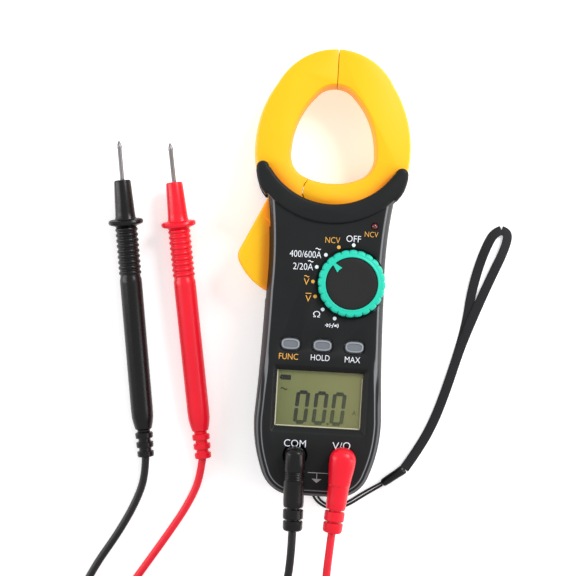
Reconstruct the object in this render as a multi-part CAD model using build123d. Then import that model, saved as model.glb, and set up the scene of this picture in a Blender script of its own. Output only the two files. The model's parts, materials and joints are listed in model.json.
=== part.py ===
"""Clamp-type digital multimeter with its two test leads and its wrist strap, lying on its back.

Millimetres. +Z is up out of the dial face and +Y points along the meter to its jaws. The origin is
on the surface the meter rests on, on its centre line and about half way along its length.
"""

from build123d import *
import math
import os

# ---- driving dimensions -------------------------------------------------------------------------
TIP_Y, TAIL_Y = 102.5, -101.3  # tip of the jaws and end of the case
FACE_Z = 30.0  # dial face above the rest plane
PART_Z = FACE_Z / 2  # where the front and rear case meet
WALL = 2.2
CEILING_Z = FACE_Z - WALL  # inside of the dial face
COLLAR_Z = 31.5  # top of the raised crescent

JAW_HALF = 9.0  # half the jaws' thickness
JAW_DRAFT = 0.9  # how much narrower the jaws are at their faces
JAW_WALL = 2.0
JAW_GAP = 0.3  # clearance between the two jaws
PIVOT = (-21.4, 30.0)
HUB_R = 9.9
PIN_R = 2.0
PIN_FIT = 0.05
OPENING_DEG = 21.0

BOARD_Z = (21.4, 23.0)
KNOB = (11.4, -4.1)
KNOB_R = 15.1
KNOB_BASE_Z, KNOB_TOP_Z = 30.3, 34.2
DISC_R = 11.7  # the black disc inside the knob's ring
SHAFT_R = 7.0
SHAFT_FIT = 0.08
SETTINGS = 8
SETTING_STEP = 22.5

BUTTON_X = (-14.3, 0.0, 14.3)
BUTTON_Y = -32.5
BUTTON_SIZE = (8.4, 5.4)
BUTTON_TRAVEL = 0.8

LENS_Y = -57.0
LCD_SIZE = (38.2, 25.2)  # what the bezel leaves visible
BEZEL_SIZE = (42.6, 30.3)

JACKS = (-9.5, 11.7)
JACK_Y = -82.3
JACK_FLOOR_Z = 11.5
SHROUD_R = 5.0
HEAD_R = {"black": 4.95, "red": 5.8}
PLUG_AXIS_Z = 36.6
PLUG_REACH = 32.7  # jack axis to the end of the strain relief
PLUG_TURN = {"black": 1.3, "red": -5.2}  # degrees about the jack, from pointing straight back
PLUG_LIFT = 18.0

CORD_R = 1.8
COIL_PITCH = 3.75
COIL_TURNS = 5
PROBE_LENGTH = 147.0
PROBE_TIPS = {"black": (-98.8, 55.8), "red": (-75.2, 56.1)}
PROBE_TURN = {"black": 8.0, "red": 9.2}  # degrees from pointing straight along +Y
GUARD_R = 8.1
GUARD_AT = 37.7
BARREL_R = 5.1
BARREL_END = 128.2

STRING_R = 0.55
WEBBING = (4.4, 1.2)  # width and the thickness of its two layers


# ---- helpers ------------------------------------------------------------------------------------
def save(name, *solids):
    shape = solids[0] if len(solids) == 1 else Compound(children=list(solids))
    export_step(shape, f"parts/{name}.step")
    return shape


def slab(face, low, high):
    """The face drawn in plan, as a solid between two heights."""
    return extrude(Plane.XY.offset(low) * face, high - low, dir=(0, 0, 1))


def disc(x, y, low, high, radius, hole=0.0):
    face = Pos(x, y) * Circle(radius)
    if hole:
        face -= Pos(x, y) * Circle(hole)
    return slab(face, low, high)


def block(x, y, z, width, depth, height):
    """A box from its centre in plan and its lower face."""
    return Pos(x, y, z + height / 2) * Box(width, depth, height)


def mirrored(points):
    return [(-x, y) for x, y in reversed(points)]


def fold_radii(points):
    """The largest fair radius for each inner point of a route, from its two runs and its turn."""
    radii = []
    for before, here, after in zip(points, points[1:], points[2:]):
        a, b = Vector(*here) - Vector(*before), Vector(*after) - Vector(*here)
        half_turn = math.radians(a.get_angle(b)) / 2
        radii.append(0.45 * min(a.length, b.length) / math.tan(half_turn))
    return radii


def tube(name, points, radius):
    """A round tube along straight runs joined by tangent arcs."""
    radii = fold_radii(points)
    path = FilletPolyline(*points, radius=radii)
    start = Plane(origin=points[0], z_dir=Vector(*points[1]) - Vector(*points[0]))
    solid = sweep(start * Circle(radius), path=path)
    expected = math.pi * radius**2 * path.length
    print(f"{name}: length {path.length:.1f}, volume / expected {solid.volume / expected:.4f}")
    print("   radii", [round(r, 1) for r in radii])
    return solid


# ---- outlines in plan ---------------------------------------------------------------------------
def case_outline():
    side = Curve() + [
        ThreePointArc((12.3, TAIL_Y), (20.4, -97.3), (24.8, -90.2)),
        ThreePointArc((24.8, -90.2), (28.0, -78.6), (29.0, -66.0)),
        ThreePointArc((29.0, -66.0), (27.8, -42.0), (27.0, -8.0)),
        ThreePointArc((27.0, -8.0), (27.3, 18.0), (29.4, 36.0)),
    ]
    top = Line((29.4, 36.0), (-29.4, 36.0))
    base = Line((-12.3, TAIL_Y), (12.3, TAIL_Y))
    return make_face(side + top + mirror(side, Plane.YZ) + base)


def jaw_outline():
    """The outer edge of both jaws, closed where they end inside the case."""
    side = Curve() + [
        ThreePointArc((0.0, TIP_Y), (15.5, 98.2), (26.8, 86.0)),
        ThreePointArc((26.8, 86.0), (34.0, 70.0), (35.7, 56.0)),
        ThreePointArc((35.7, 56.0), (35.0, 48.0), (33.0, 41.0)),
        Line((33.0, 41.0), (31.0, 36.3)),
        Line((31.0, 36.3), (26.2, 36.3)),
        Line((26.2, 36.3), (26.2, 24.0)),
    ]
    base = Line((26.2, 24.0), (-26.2, 24.0))
    return make_face(side + mirror(side, Plane.YZ) + base)


def jaw_window():
    side = Curve() + [
        ThreePointArc((0.0, 84.5), (4.2, 83.7), (7.8, 81.2)),
        ThreePointArc((7.8, 81.2), (15.5, 70.0), (18.8, 55.5)),
        ThreePointArc((18.8, 55.5), (18.0, 49.2), (14.6, 44.8)),
        ThreePointArc((14.6, 44.8), (7.5, 42.0), (0.0, 41.2)),
    ]
    return make_face(side + mirror(side, Plane.YZ))


def moving_side():
    """Everything on the moving jaw's side of the two seams."""
    seam = [(0.0, 110.0), (0.0, 60.0), (-10.6, 42.5), (-12.4, 39.6), (-13.2, 35.8)]
    rest = [(-13.2, 32.0), (-45.0, 32.0), (-45.0, 110.0)]
    return make_face(Polyline(*seam, *rest, close=True))


def crescent():
    """The raised collar's horned shape in plan, with rounded tips."""
    band = Pos(0, 61.3) * Circle(39.4) - Pos(0, 64.2) * Circle(33.2)
    flank = Curve() + [
        ThreePointArc((34.35, 52.0), (34.1, 44.0), (31.3, 36.6)),
        Line((31.3, 36.6), (29.4, 34.0)),
        Line((29.4, 34.0), (29.4, 10.0)),
    ]
    ends = Line((-29.4, 10.0), (29.4, 10.0)) + Line((-34.35, 52.0), (34.35, 52.0))
    band &= make_face(flank + mirror(flank, Plane.YZ) + ends)
    for side in (-1, 1):
        tip = Pos(side * 31.3, 45.9)
        beyond = Rot(0, 0, side * -31.0) * Pos(0, 8) * Rectangle(20, 16)
        band -= tip * beyond
        band += tip * Circle(2.95)
    return band


def trigger_outline():
    nose = Curve() + [
        Line((-28.7, 32.6), (-39.7, 9.4)),
        ThreePointArc((-39.7, 9.4), (-40.6, 6.0), (-39.6, 2.6)),
        ThreePointArc((-39.6, 2.6), (-34.9, -3.8), (-27.6, -9.2)),
        ThreePointArc((-27.6, -9.2), (-25.4, -9.3), (-24.0, -7.4)),
        Line((-24.0, -7.4), (-22.5, 26.0)),
        Line((-22.5, 26.0), (-28.7, 32.6)),
    ]
    return make_face(nose)


# ---- case ---------------------------------------------------------------------------------------
BOSSES = ((-22.5, -16.0), (22.5, 12.0), (-22.0, -74.5), (22.0, -74.5))
SLOT_Z = (PART_Z - JAW_HALF - JAW_GAP, PART_Z + JAW_HALF + JAW_GAP)
TRIGGER_Z = (9.0, 21.0)
EYELET = (1.0, -100.0)
POST_R = 0.8
PIN_SEAT = 4.0  # how deep the pivot pin sits in each half of the case
DOOR_SCREW = (0.0, -81.5)
JACK_R = 3.1
ROTOR_R = 12.5
DETENT = (KNOB[0], KNOB[1] - ROTOR_R - 1.65)  # the ball's centre, at the rotor's rim
DETENT_Z = 25.7


def shell(low, high, roof_low, roof_high):
    """One half of the case: side walls all round and the wall that closes it."""
    outer = case_outline() - Pos(0, 64.2) * Circle(33.2)
    wall = outer - offset(case_outline(), amount=-WALL)
    roof = slab(outer, roof_low, roof_high)
    return slab(wall, low, high) + roof


def trigger_slot():
    """The opening in the left wall that the trigger sticks out of and swings into."""
    return block(-34.0, 12.0, TRIGGER_Z[0] - 0.4, 22.0, 50.0, TRIGGER_Z[1] - TRIGGER_Z[0] + 0.8)


def jaw_room():
    """Where the jaws lie between the two collars, and the pocket for the moving jaw's hub."""
    low, high = SLOT_Z
    plan = Pos(0, 76.3) * Rectangle(100, 80) + Pos(0, 30) * Rectangle(53.0, 14.6)
    plan += Pos(-30, 30) * Rectangle(40, 20.6)
    return slab(plan, low, high)


def front_case():
    body = shell(PART_Z, FACE_Z, CEILING_Z, FACE_Z)
    body += slab(crescent(), SLOT_Z[1], COLLAR_Z)
    for x, y in BOSSES:
        body += disc(x, y, PART_Z, CEILING_Z, 3.0, 1.3)
    for x in JACKS:
        body += disc(x, JACK_Y, JACK_FLOOR_Z - 1.5, FACE_Z, SHROUD_R + 1.8)
    for x in JACKS:
        body -= disc(x, JACK_Y, JACK_FLOOR_Z, FACE_Z + 1, SHROUD_R + 0.3)
    body -= jaw_room()
    body -= trigger_slot()
    body -= disc(*KNOB, CEILING_Z - 1, FACE_Z + 1, SHAFT_R + SHAFT_FIT)
    for x in BUTTON_X:
        hole = Pos(x, BUTTON_Y) * RectangleRounded(BUTTON_SIZE[0] + 0.6, BUTTON_SIZE[1] + 0.6, 2.2)
        body -= slab(hole, CEILING_Z - 1, FACE_Z + 1)
    top = Pos(0, LENS_Y, FACE_Z) * RectangleRounded(*BEZEL_SIZE, 2.5)
    low = Pos(0, LENS_Y, CEILING_Z) * RectangleRounded(LCD_SIZE[0] + 1.2, LCD_SIZE[1] + 1.2, 1.5)
    body -= loft([low, top])
    body -= disc(20.3, 22.1, CEILING_Z - 1, FACE_Z + 1, 1.6)
    body += disc(*PIVOT, SLOT_Z[1], FACE_Z - 0.5, 4.0)
    body -= disc(*PIVOT, SLOT_Z[1] - 1, SLOT_Z[1] + PIN_SEAT, PIN_R)
    for x in JACKS:
        body -= disc(x, JACK_Y, JACK_FLOOR_Z - 2, JACK_FLOOR_Z + 1, JACK_R)
    ball_x, ball_y = DETENT
    body += block(ball_x, ball_y - 3.2, DETENT_Z - 2.4, 5.6, 7.0, CEILING_Z - DETENT_Z + 2.4)
    body -= Pos(ball_x, ball_y - 2.2, DETENT_Z) * Rot(90, 0, 0) * Cylinder(1.6, 7.0)
    return body


def rear_case():
    body = shell(0.0, PART_Z, 0.0, WALL)
    body += slab(crescent(), 0.0, SLOT_Z[0])
    for x, y in BOSSES:
        body += disc(x, y, 0.0, PART_Z, 3.4)
        body -= disc(x, y, -1.0, PART_Z + 1, 1.6)
        body -= disc(x, y, -1.0, 3.0, 2.9)
    body -= jaw_room()
    body -= trigger_slot()
    body += disc(*PIVOT, 0.0, SLOT_Z[0], 4.0)
    body -= disc(*PIVOT, SLOT_Z[0] - PIN_SEAT, SLOT_Z[0] + 1, PIN_R)
    body -= slab(battery_door(0.3), -1.0, WALL)
    body -= slab(Pos(0, -50.0) * Rectangle(36.0, 47.0), WALL - 1, WALL + 1)
    for x in (-19.5, 19.5):
        body += block(x, -47.5, WALL, 1.4, 45.0, 9.0)
    body += block(*DOOR_SCREW, WALL, 20.0, 7.0, 3.5)
    body -= disc(*DOOR_SCREW, -1.0, 7.0, 1.2)
    notch = block(EYELET[0], EYELET[1] - 1.0, -1.0, 7.0, 7.6, 6.0)
    post = disc(*EYELET, 0.0, 6.0, POST_R)
    return body - notch + post


def battery_door(grow=0.0):
    """The battery cover in plan, with its screw tab at the tail end."""
    plate = Pos(0, -50.0) * RectangleRounded(37.0 + 2 * grow, 51.0 + 2 * grow, 2.5)
    tab = Pos(0, DOOR_SCREW[1] + 2) * RectangleRounded(12.0 + 2 * grow, 12.0 + 2 * grow, 2.5)
    return plate + tab


def battery_cover():
    door = slab(battery_door(), 0.0, WALL)
    door -= disc(*DOOR_SCREW, -1.0, 1.4, 2.7)
    return door - disc(*DOOR_SCREW, 0.0, 3.0, 1.3)


def screw(x, y, head_low, head_high, head_r, tip, shank_r):
    """A pan-head screw that points up, with a cross slot in its head."""
    body = disc(x, y, head_low, head_high, head_r) + disc(x, y, head_high, tip, shank_r)
    for turn in (0, 90):
        slot = Pos(x, y, head_low) * Rot(0, 0, turn) * Box(head_r * 1.2, 0.5, 0.8)
        body -= slot
    return body


# ---- what the case holds ------------------------------------------------------------------------
def board():
    plan = offset(case_outline(), amount=-WALL - 0.6)
    plan &= Pos(0, -25.7) * Rectangle(60, 96.2)
    for x, y in BOSSES:
        plan -= Pos(x, y) * Circle(3.6)
    plan -= Pos(*KNOB) * Circle(1.7)
    plan -= Pos(*PIVOT) * Circle(HUB_R + 0.6)
    return slab(plan, *BOARD_Z)


def lcd_parts():
    low = BOARD_Z[1] + 1.4
    plan = Pos(0, LENS_Y)
    glass = slab(plan * Rectangle(41.4, 27.4), low, low + 2.0)
    frame = slab(plan * (Rectangle(45.0, 28.6) - Rectangle(41.4, 27.4)), BOARD_Z[1], low + 2.0)
    strips = [
        block(0, LENS_Y + side * 12.3, BOARD_Z[1], 36.0, 2.2, low - BOARD_Z[1]) for side in (-1, 1)
    ]
    lens = slab(plan * RectangleRounded(43.4, 28.4, 1.5), low + 2.0, CEILING_Z)
    save("lcd_panel", glass)
    save("lcd_frame", frame)
    save("zebra_strips", *strips)
    save("display_window", lens)


def input_jack(x):
    """A brass socket with its base and the strap that carries it to the board."""
    body = disc(x, JACK_Y, 10.0, 25.0, JACK_R, PIN_R + PIN_FIT)
    body += disc(x, JACK_Y, 8.5, 10.0, 5.0, PIN_R + PIN_FIT)
    body += block(x, -76.0, 8.5, 4.0, 6.0, 0.8)
    return body + block(x, -73.3, 8.5, 4.0, 0.6, BOARD_Z[0] - 8.5)


def electronics():
    save("main_board", board())
    chips = [(-8.0, -20.0, 11.0, 1.6), (4.0, 14.5, 7.0, 1.4), (-15.0, 6.0, 6.0, 1.8)]
    save("circuit_chips", *[block(x, y, BOARD_Z[1], w, w * 0.8, h) for x, y, w, h in chips])
    switches = []
    for x in BUTTON_X:
        base = block(x, BUTTON_Y, BOARD_Z[1], 6.0, 6.0, 1.0)
        switches.append(base + disc(x, BUTTON_Y, BOARD_Z[1] + 1.0, BOARD_Z[1] + 1.5, 1.5))
    save("tact_switches", *switches)
    save("buzzer", disc(-15.5, -52.0, BOARD_Z[0] - 4.0, BOARD_Z[0], 6.0))
    led = disc(20.3, 22.1, 24.4, 29.4, 1.5) + Pos(20.3, 22.1, 29.4) * Sphere(1.5)
    for x in (19.7, 20.9):
        led += block(x, 21.2, BOARD_Z[1], 0.5, 0.5, 1.6)
    save("status_led", led)
    save("input_jacks", *[input_jack(x) for x in JACKS])


def batteries():
    cells, contacts = [], []
    for x in (-11.8, 0.0, 11.8):
        lying = Pos(x, -50.0, 8.2) * Rot(90, 0, 0)
        cells.append(lying * (Cylinder(5.2, 43.2) + Pos(0, 0, 22.1) * Cylinder(1.9, 1.0)))
        for y in (-72.8, -27.6):
            contacts.append(block(x, y, 3.4, 9.0, 0.4, 9.0))
    save("battery_cells", *cells)
    save("battery_contacts", *contacts)


# ---- jaws ---------------------------------------------------------------------------------------
def drafted(face, inset):
    """The face in plan, narrowing (or widening, below zero) by inset over half the jaws' thickness."""
    far = Pos(0, 0, JAW_HALF) * offset(face, amount=-inset)
    return loft([Sketch() + face.faces()[0], Sketch() + far.faces()[0]])


def ring(toward):
    """Both jaws as one drafted half, from the parting plane toward the front (1) or rear (-1)."""
    solid = drafted(jaw_outline(), JAW_DRAFT) - drafted(jaw_window(), -JAW_DRAFT)
    solid = solid if toward > 0 else mirror(solid, Plane.XY)
    return Pos(0, 0, PART_Z) * solid


def hub():
    return Pos(*PIVOT) * Circle(HUB_R) & Pos(0, 30) * Rectangle(59.0, 40)


def fixed_plan():
    plan = jaw_outline() - jaw_window()
    plan -= offset(moving_side(), amount=JAW_GAP, kind=Kind.INTERSECTION)
    return plan - Pos(*PIVOT) * Circle(HUB_R + JAW_GAP)


def moving_plan():
    return ((jaw_outline() - jaw_window()) & moving_side()) + hub()


def jaw_half(toward, plan, extra=None):
    """A hollow half of one jaw, open at the parting plane."""
    low, high = sorted((PART_Z, PART_Z + toward * JAW_HALF))
    body = ring(toward) & slab(plan, low, high)
    if extra is not None:
        body += slab(extra, low, high)
    low, high = sorted((PART_Z, PART_Z + toward * (JAW_HALF - JAW_WALL)))
    return body - slab(offset(plan, amount=-JAW_WALL - 0.4), low, high)


def magnetics(plan):
    """The iron core along a jaw and the winding round part of it."""
    band = jaw_outline() - jaw_window()
    core = offset(jaw_outline(), amount=-5.8) - offset(jaw_window(), amount=5.8)
    core &= offset(plan, amount=-JAW_WALL - 0.4)
    core &= Pos(0, 78) * Rectangle(80, 80)
    core_solid = slab(core, PART_Z - 4, PART_Z + 4)
    winding = offset(band, amount=-3.2) & Pos(0, 63) * Rectangle(80, 22)
    winding &= offset(plan, amount=-JAW_WALL - 0.6)
    coil = slab(winding, PART_Z - 6, PART_Z + 6) - slab(core, PART_Z - 4, PART_Z + 4)
    return core_solid, coil


def jaws():
    core, coil = magnetics(fixed_plan())
    save("fixed_jaw_core", core)
    save("fixed_jaw_winding", coil)
    save("fixed_jaw_front_shell", jaw_half(1, fixed_plan()))
    save("fixed_jaw_rear_shell", jaw_half(-1, fixed_plan()))

    core, coil = magnetics(moving_plan())
    save("moving_jaw_core", core)
    save("moving_jaw_winding", coil)
    for name, toward in (("front", 1), ("rear", -1)):
        shell_half = jaw_half(toward, moving_plan(), hub())
        low, high = sorted((PART_Z, PART_Z + toward * JAW_HALF))
        shell_half += disc(*PIVOT, low, high, 4.0)
        shell_half -= disc(*PIVOT, low - 1, high + 1, PIN_R + PIN_FIT)
        save(f"moving_jaw_{name}_shell", shell_half)
    save("jaw_pivot_pin", disc(*PIVOT, SLOT_Z[0] - PIN_SEAT, SLOT_Z[1] + PIN_SEAT, PIN_R))

    lever = slab(trigger_outline(), *TRIGGER_Z) - slab(moving_plan(), 0, 30)
    pocket = offset(trigger_outline(), amount=-2.2) & Pos(-30, -2) * Rectangle(30, 40)
    save("trigger", lever - slab(pocket, TRIGGER_Z[0] + 2.0, TRIGGER_Z[1] - 2.0))

    wire, turns = 0.45, 5
    rings = [Pos(*PIVOT, 11.4 + n * 0.85) * Torus(4.95, wire) for n in range(turns)]
    spring = rings[0]
    for one in rings[1:]:
        spring += one
    save("jaw_return_spring", spring)


# ---- knob and buttons ---------------------------------------------------------------------------
def knob():
    center = Pos(*KNOB)
    plan = center * Circle(KNOB_R)
    teeth = 24
    for n in range(teeth):
        plan -= center * Rot(0, 0, n * 360 / teeth) * Pos(KNOB_R + 0.35, 0) * Circle(0.9)
    rest_turn = 135
    pointer = center * Rot(0, 0, rest_turn) * make_face(
        Polyline((11.6, 0), (8.8, 1.5), (8.8, -1.5), close=True)
    )
    collar = slab(plan - center * Circle(DISC_R), KNOB_BASE_Z, KNOB_TOP_Z)
    arm = center * Rot(0, 0, rest_turn) * Pos(11.2, 0) * Rectangle(2.4, 1.0)
    mark = slab(pointer + (arm & center * Circle(DISC_R)), KNOB_TOP_Z - 1.2, KNOB_TOP_Z - 0.5)
    save("knob_ring", collar + mark)

    cap = slab(center * Circle(DISC_R), KNOB_BASE_Z + 0.2, KNOB_TOP_Z - 0.6)
    cap += disc(*KNOB, BOARD_Z[1] + 1.2, KNOB_BASE_Z + 0.2, SHAFT_R)
    cap -= disc(*KNOB, BOARD_Z[1], 29.0, 1.25)
    save("knob_cap", cap - mark)

    rotor = center * Circle(ROTOR_R) - center * Circle(SHAFT_R)
    for n in range(16):
        rotor -= center * Rot(0, 0, n * SETTING_STEP) * Pos(0, -ROTOR_R - 0.9) * Circle(1.6)
    save("knob_rotor", slab(rotor, BOARD_Z[1] + 1.2, CEILING_Z - 0.4))
    wipers = []
    for turn in (0, 120, 240):
        pad = center * Rot(0, 0, turn) * Pos(9.8, 0) * Rectangle(1.6, 4.0)
        wipers.append(slab(pad, BOARD_Z[1] + 0.15, BOARD_Z[1] + 1.2))
    save("contact_wipers", *wipers)
    save("knob_screw", screw(*KNOB, BOARD_Z[0] - 1.8, BOARD_Z[0] - 0.2, 3.2, 28.5, 1.25))

    ball_x, ball_y = DETENT
    save("detent_ball", Pos(ball_x, ball_y, DETENT_Z) * Sphere(1.5))
    length = 3.4
    coil = Pos(ball_x, ball_y - 1.45 - length / 2, DETENT_Z) * Rot(90, 0, 0)
    save("detent_spring", coil * (Cylinder(1.35, length) - Cylinder(0.8, length)))


def buttons():
    for name, x in zip(("func", "hold", "max"), BUTTON_X):
        center = Pos(x, BUTTON_Y)
        cap = slab(center * RectangleRounded(*BUTTON_SIZE, 2.1), CEILING_Z - 1.3, FACE_Z + 1.0)
        cap += slab(center * RectangleRounded(10.4, 7.4, 2.5), CEILING_Z - 1.5, CEILING_Z - 0.3)
        cap += disc(x, BUTTON_Y, CEILING_Z - 2.3, CEILING_Z - 1.5, 1.2)
        save(f"{name}_button", cap)


# ---- test leads ---------------------------------------------------------------------------------
def turned(profile):
    """A solid of revolution about Z from its (height, radius) outline."""
    points = [(profile[0][0], 0.0), *profile, (profile[-1][0], 0.0)]
    outline = Polyline(*[(radius, 0, height) for height, radius in points], close=True)
    return revolve(make_face(outline), Axis.Z)


def plug_place(colour):
    """Plug frame: origin on the jack's axis at the barrel's height, +Z out of the strain relief."""
    turn = math.radians(PLUG_TURN[colour])
    x = JACKS[0] if colour == "black" else JACKS[1]
    aim = (math.sin(turn), -math.cos(turn), 0)
    return Plane(origin=(x, JACK_Y, PLUG_AXIS_Z), z_dir=aim, x_dir=(0, 0, 1))


def plug(colour):
    place = plug_place(colour)
    x, y = place.origin.X, place.origin.Y
    barrel = [(0, 4.9), (14.0, 4.9), (22.3, 4.65), (22.3, 2.7), (23.2, 2.7), (23.2, 4.5)]
    barrel += [(27.4, 4.5), (27.4, 2.7), (28.2, 2.7), (28.2, 4.5), (31.9, 4.5), (PLUG_REACH, 3.6)]
    body = place.location * turned(barrel)
    head = Pos(x, y) * Circle(HEAD_R[colour])
    turn = math.radians(PLUG_TURN[colour])
    neck = (x + 12.0 * math.sin(turn), y - 12.0 * math.cos(turn))
    head = make_hull((head + Pos(*neck) * Circle(4.9)).edges())
    body += slab(head, FACE_Z + 0.4, 42.6)
    body += disc(x, y, JACK_FLOOR_Z + 0.5, FACE_Z + 0.4, SHROUD_R)
    body -= disc(x, y, JACK_FLOOR_Z, FACE_Z - 2, 3.5)
    pin = disc(x, y, JACK_FLOOR_Z + 0.5, FACE_Z + 3, PIN_R)
    save(f"{colour}_plug_body", body - pin)
    save(f"{colour}_plug_pin", pin)


def probe_place(colour):
    """Probe frame: origin at the point, +Z along the probe to its cord; it rests on its guard."""
    turn = math.radians(PROBE_TURN[colour])
    fall = math.asin((GUARD_R - BARREL_R) / (BARREL_END - GUARD_AT))
    level = math.cos(fall)
    aim = (math.sin(turn) * level, -math.cos(turn) * level, -math.sin(fall))
    tip = (*PROBE_TIPS[colour], GUARD_R + GUARD_AT * math.sin(fall) + 0.05)
    return Plane(origin=tip, z_dir=aim, x_dir=(0, 0, 1))


def probe(colour):
    place = probe_place(colour).location
    needle = [(0.0, 0.15), (2.6, 1.15), (3.4, 1.0), (30.0, 1.0)]
    handle = [(18.3, 3.6), (18.9, 3.9), (36.6, 4.55), (36.6, 7.7), (37.2, GUARD_R)]
    handle += [(38.3, GUARD_R), (38.7, 7.7), (38.7, 4.7)]
    pitch = 2.5
    for n in range(9):
        low = 40.0 + n * pitch
        handle += [(low, 4.7), (low + 0.3, 5.2), (low + 1.5, 5.2), (low + 1.8, 4.7)]
    handle += [(64.0, BARREL_R), (BARREL_END, BARREL_R), (134.0, 3.7)]
    for low in (135.6, 139.9, 144.2):
        handle += [(low, 2.9), (low, 4.1), (low + 2.8, 4.1), (low + 2.8, 2.9)]
    tip = turned(needle)
    save(f"{colour}_probe_handle", place * (turned(handle) - tip))
    save(f"{colour}_probe_tip", place * tip)


def end_of(place, reach):
    return tuple(place.origin + place.z_dir * reach)


COIL_TOP_Z = CORD_R + COIL_TURNS * COIL_PITCH
COILS = {"black": ((-50.0, -167.0), 20.3), "red": ((28.8, -170.0), 18.6)}
PROBE_ROUTES = {
    "black": [
        (-78.1, -98.6, 2.8), (-82.0, -111.5, 1.9), (-89.5, -126.5, 1.8), (-99.3, -142.0, 1.8),
        (-106.0, -157.0, 1.8), (-103.8, -172.0, 1.8), (-92.5, -182.5, 1.8), (-71.0, -187.0, 1.8),
        (-50.0, -187.3, 1.8),
    ],
    "red": [
        (-52.4, -98.0, 2.8), (-57.8, -111.5, 1.9), (-66.5, -126.0, 1.8), (-76.8, -142.0, 1.8),
        (-86.2, -156.8, 2.3), (-94.4, -170.8, 6.1), (-99.6, -184.6, 6.1), (-98.4, -198.6, 2.6),
        (-89.0, -209.0, 1.8), (-71.0, -213.5, 1.8), (-44.0, -213.0, 1.8), (-20.0, -210.5, 1.8),
        (-2.4, -202.5, 1.8), (8.0, -188.0, 1.8), (10.2, -170.0, 1.8),
    ],
}
PLUG_ROUTES = {
    "black": [
        (-8.7, -124.0, 36.2), (-9.6, -138.5, 32.6), (-13.0, -155.0, 27.0), (-19.6, -170.5, 23.2),
        (-32.0, -184.5, 21.2), (-50.0, -187.3, COIL_TOP_Z),
    ],
    "red": [
        (8.0, -124.0, 36.2), (7.3, -138.0, 32.4), (8.6, -153.5, 25.6), (10.2, -170.0, COIL_TOP_Z),
    ],
}


def leads():
    for colour in ("black", "red"):
        plug(colour)
        probe(colour)
        start = end_of(probe_place(colour), PROBE_LENGTH)
        name = f"{colour}_lead_probe_end"
        save(name, tube(name, [start, *PROBE_ROUTES[colour]], CORD_R))
        start = end_of(plug_place(colour), PLUG_REACH + JAW_GAP)
        name = f"{colour}_lead_plug_end"
        save(name, tube(name, [start, *PLUG_ROUTES[colour]], CORD_R))
        center, radius = COILS[colour]
        turns = disc(*center, 0.0, COIL_TOP_Z + CORD_R, radius + CORD_R, radius - CORD_R)
        save(f"{colour}_lead_coil", turns)
        print(f"{colour} coil holds {COIL_TURNS * math.tau * radius:.0f} mm")


# ---- wrist strap --------------------------------------------------------------------------------
SLEEVE = ((32.1, -96.3, 2.05), (42.1, -88.8, 2.05))
STRING_ROUTE = [
    (32.4, -96.9, 1.8), (24.7, -102.0, 0.9), (16.2, -108.2, 0.6), (8.4, -109.9, 0.6),
    (2.4, -107.0, 0.7), (-0.2, -103.0, 1.0), (-0.6, -99.5, 1.4), (1.0, -98.2, 1.5),
    (2.6, -99.5, 1.4), (2.0, -103.0, 1.0), (4.0, -106.2, 0.7), (8.8, -108.5, 0.6),
    (15.8, -106.8, 0.6), (24.0, -100.6, 0.9), (31.8, -95.9, 1.8),
]
STRAP_STEM = [(42.1, -88.8), (49.4, -77.6), (55.4, -64.4), (60.2, -49.0), (65.0, -31.0)]
STRAP_BRANCHES = (
    [(67.6, -18.0), (68.8, -5.0), (71.6, 8.0), (75.4, 18.6), (81.2, 25.0)],
    [(69.6, -18.0), (73.8, -6.6), (78.4, 5.0), (82.4, 14.4), (84.2, 21.6), (81.2, 25.0)],
)


def strap():
    save("strap_string", tube("strap_string", STRING_ROUTE, STRING_R))
    low, high = (Vector(*p) for p in SLEEVE)
    place = Plane(origin=low, z_dir=high - low).location
    save("strap_sleeve", place * turned([(0, 1.5), (0.5, 2.0), (12.0, 2.0), (12.5, 1.5)]))
    width, thick = WEBBING
    layers = []
    for n, branch in enumerate(STRAP_BRANCHES):
        route = STRAP_STEM + branch
        radii = fold_radii([(x, y, 0) for x, y in route])
        band = trace(FilletPolyline(*route, radius=radii), width)
        layers.append(slab(band, n * thick / 2, (n + 1) * thick / 2))
    save("strap_webbing", *layers)


# ---- everything ---------------------------------------------------------------------------------
save("front_case", front_case())
save("rear_case", rear_case())
save("case_screws", *[screw(x, y, 0.6, 3.0, 2.7, 24.0, 1.3) for x, y in BOSSES])
save("battery_cover", battery_cover())
save("battery_cover_screw", screw(*DOOR_SCREW, 0.2, 1.4, 2.6, 5.4, 1.2))
lcd_parts()
electronics()
batteries()
jaws()
knob()
buttons()
leads()
strap()
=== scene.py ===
"""Clamp-type digital multimeter on its back, with two test leads and a wrist strap.

Lengths are in millimetres here and are turned into metres where a mesh is made, apart from the
cords' routes, which are in metres. +Z is up out of the dial face and +Y points to the jaws.
"""

import json
import math

import bmesh
import bpy
from mathutils import Matrix, Vector


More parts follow.
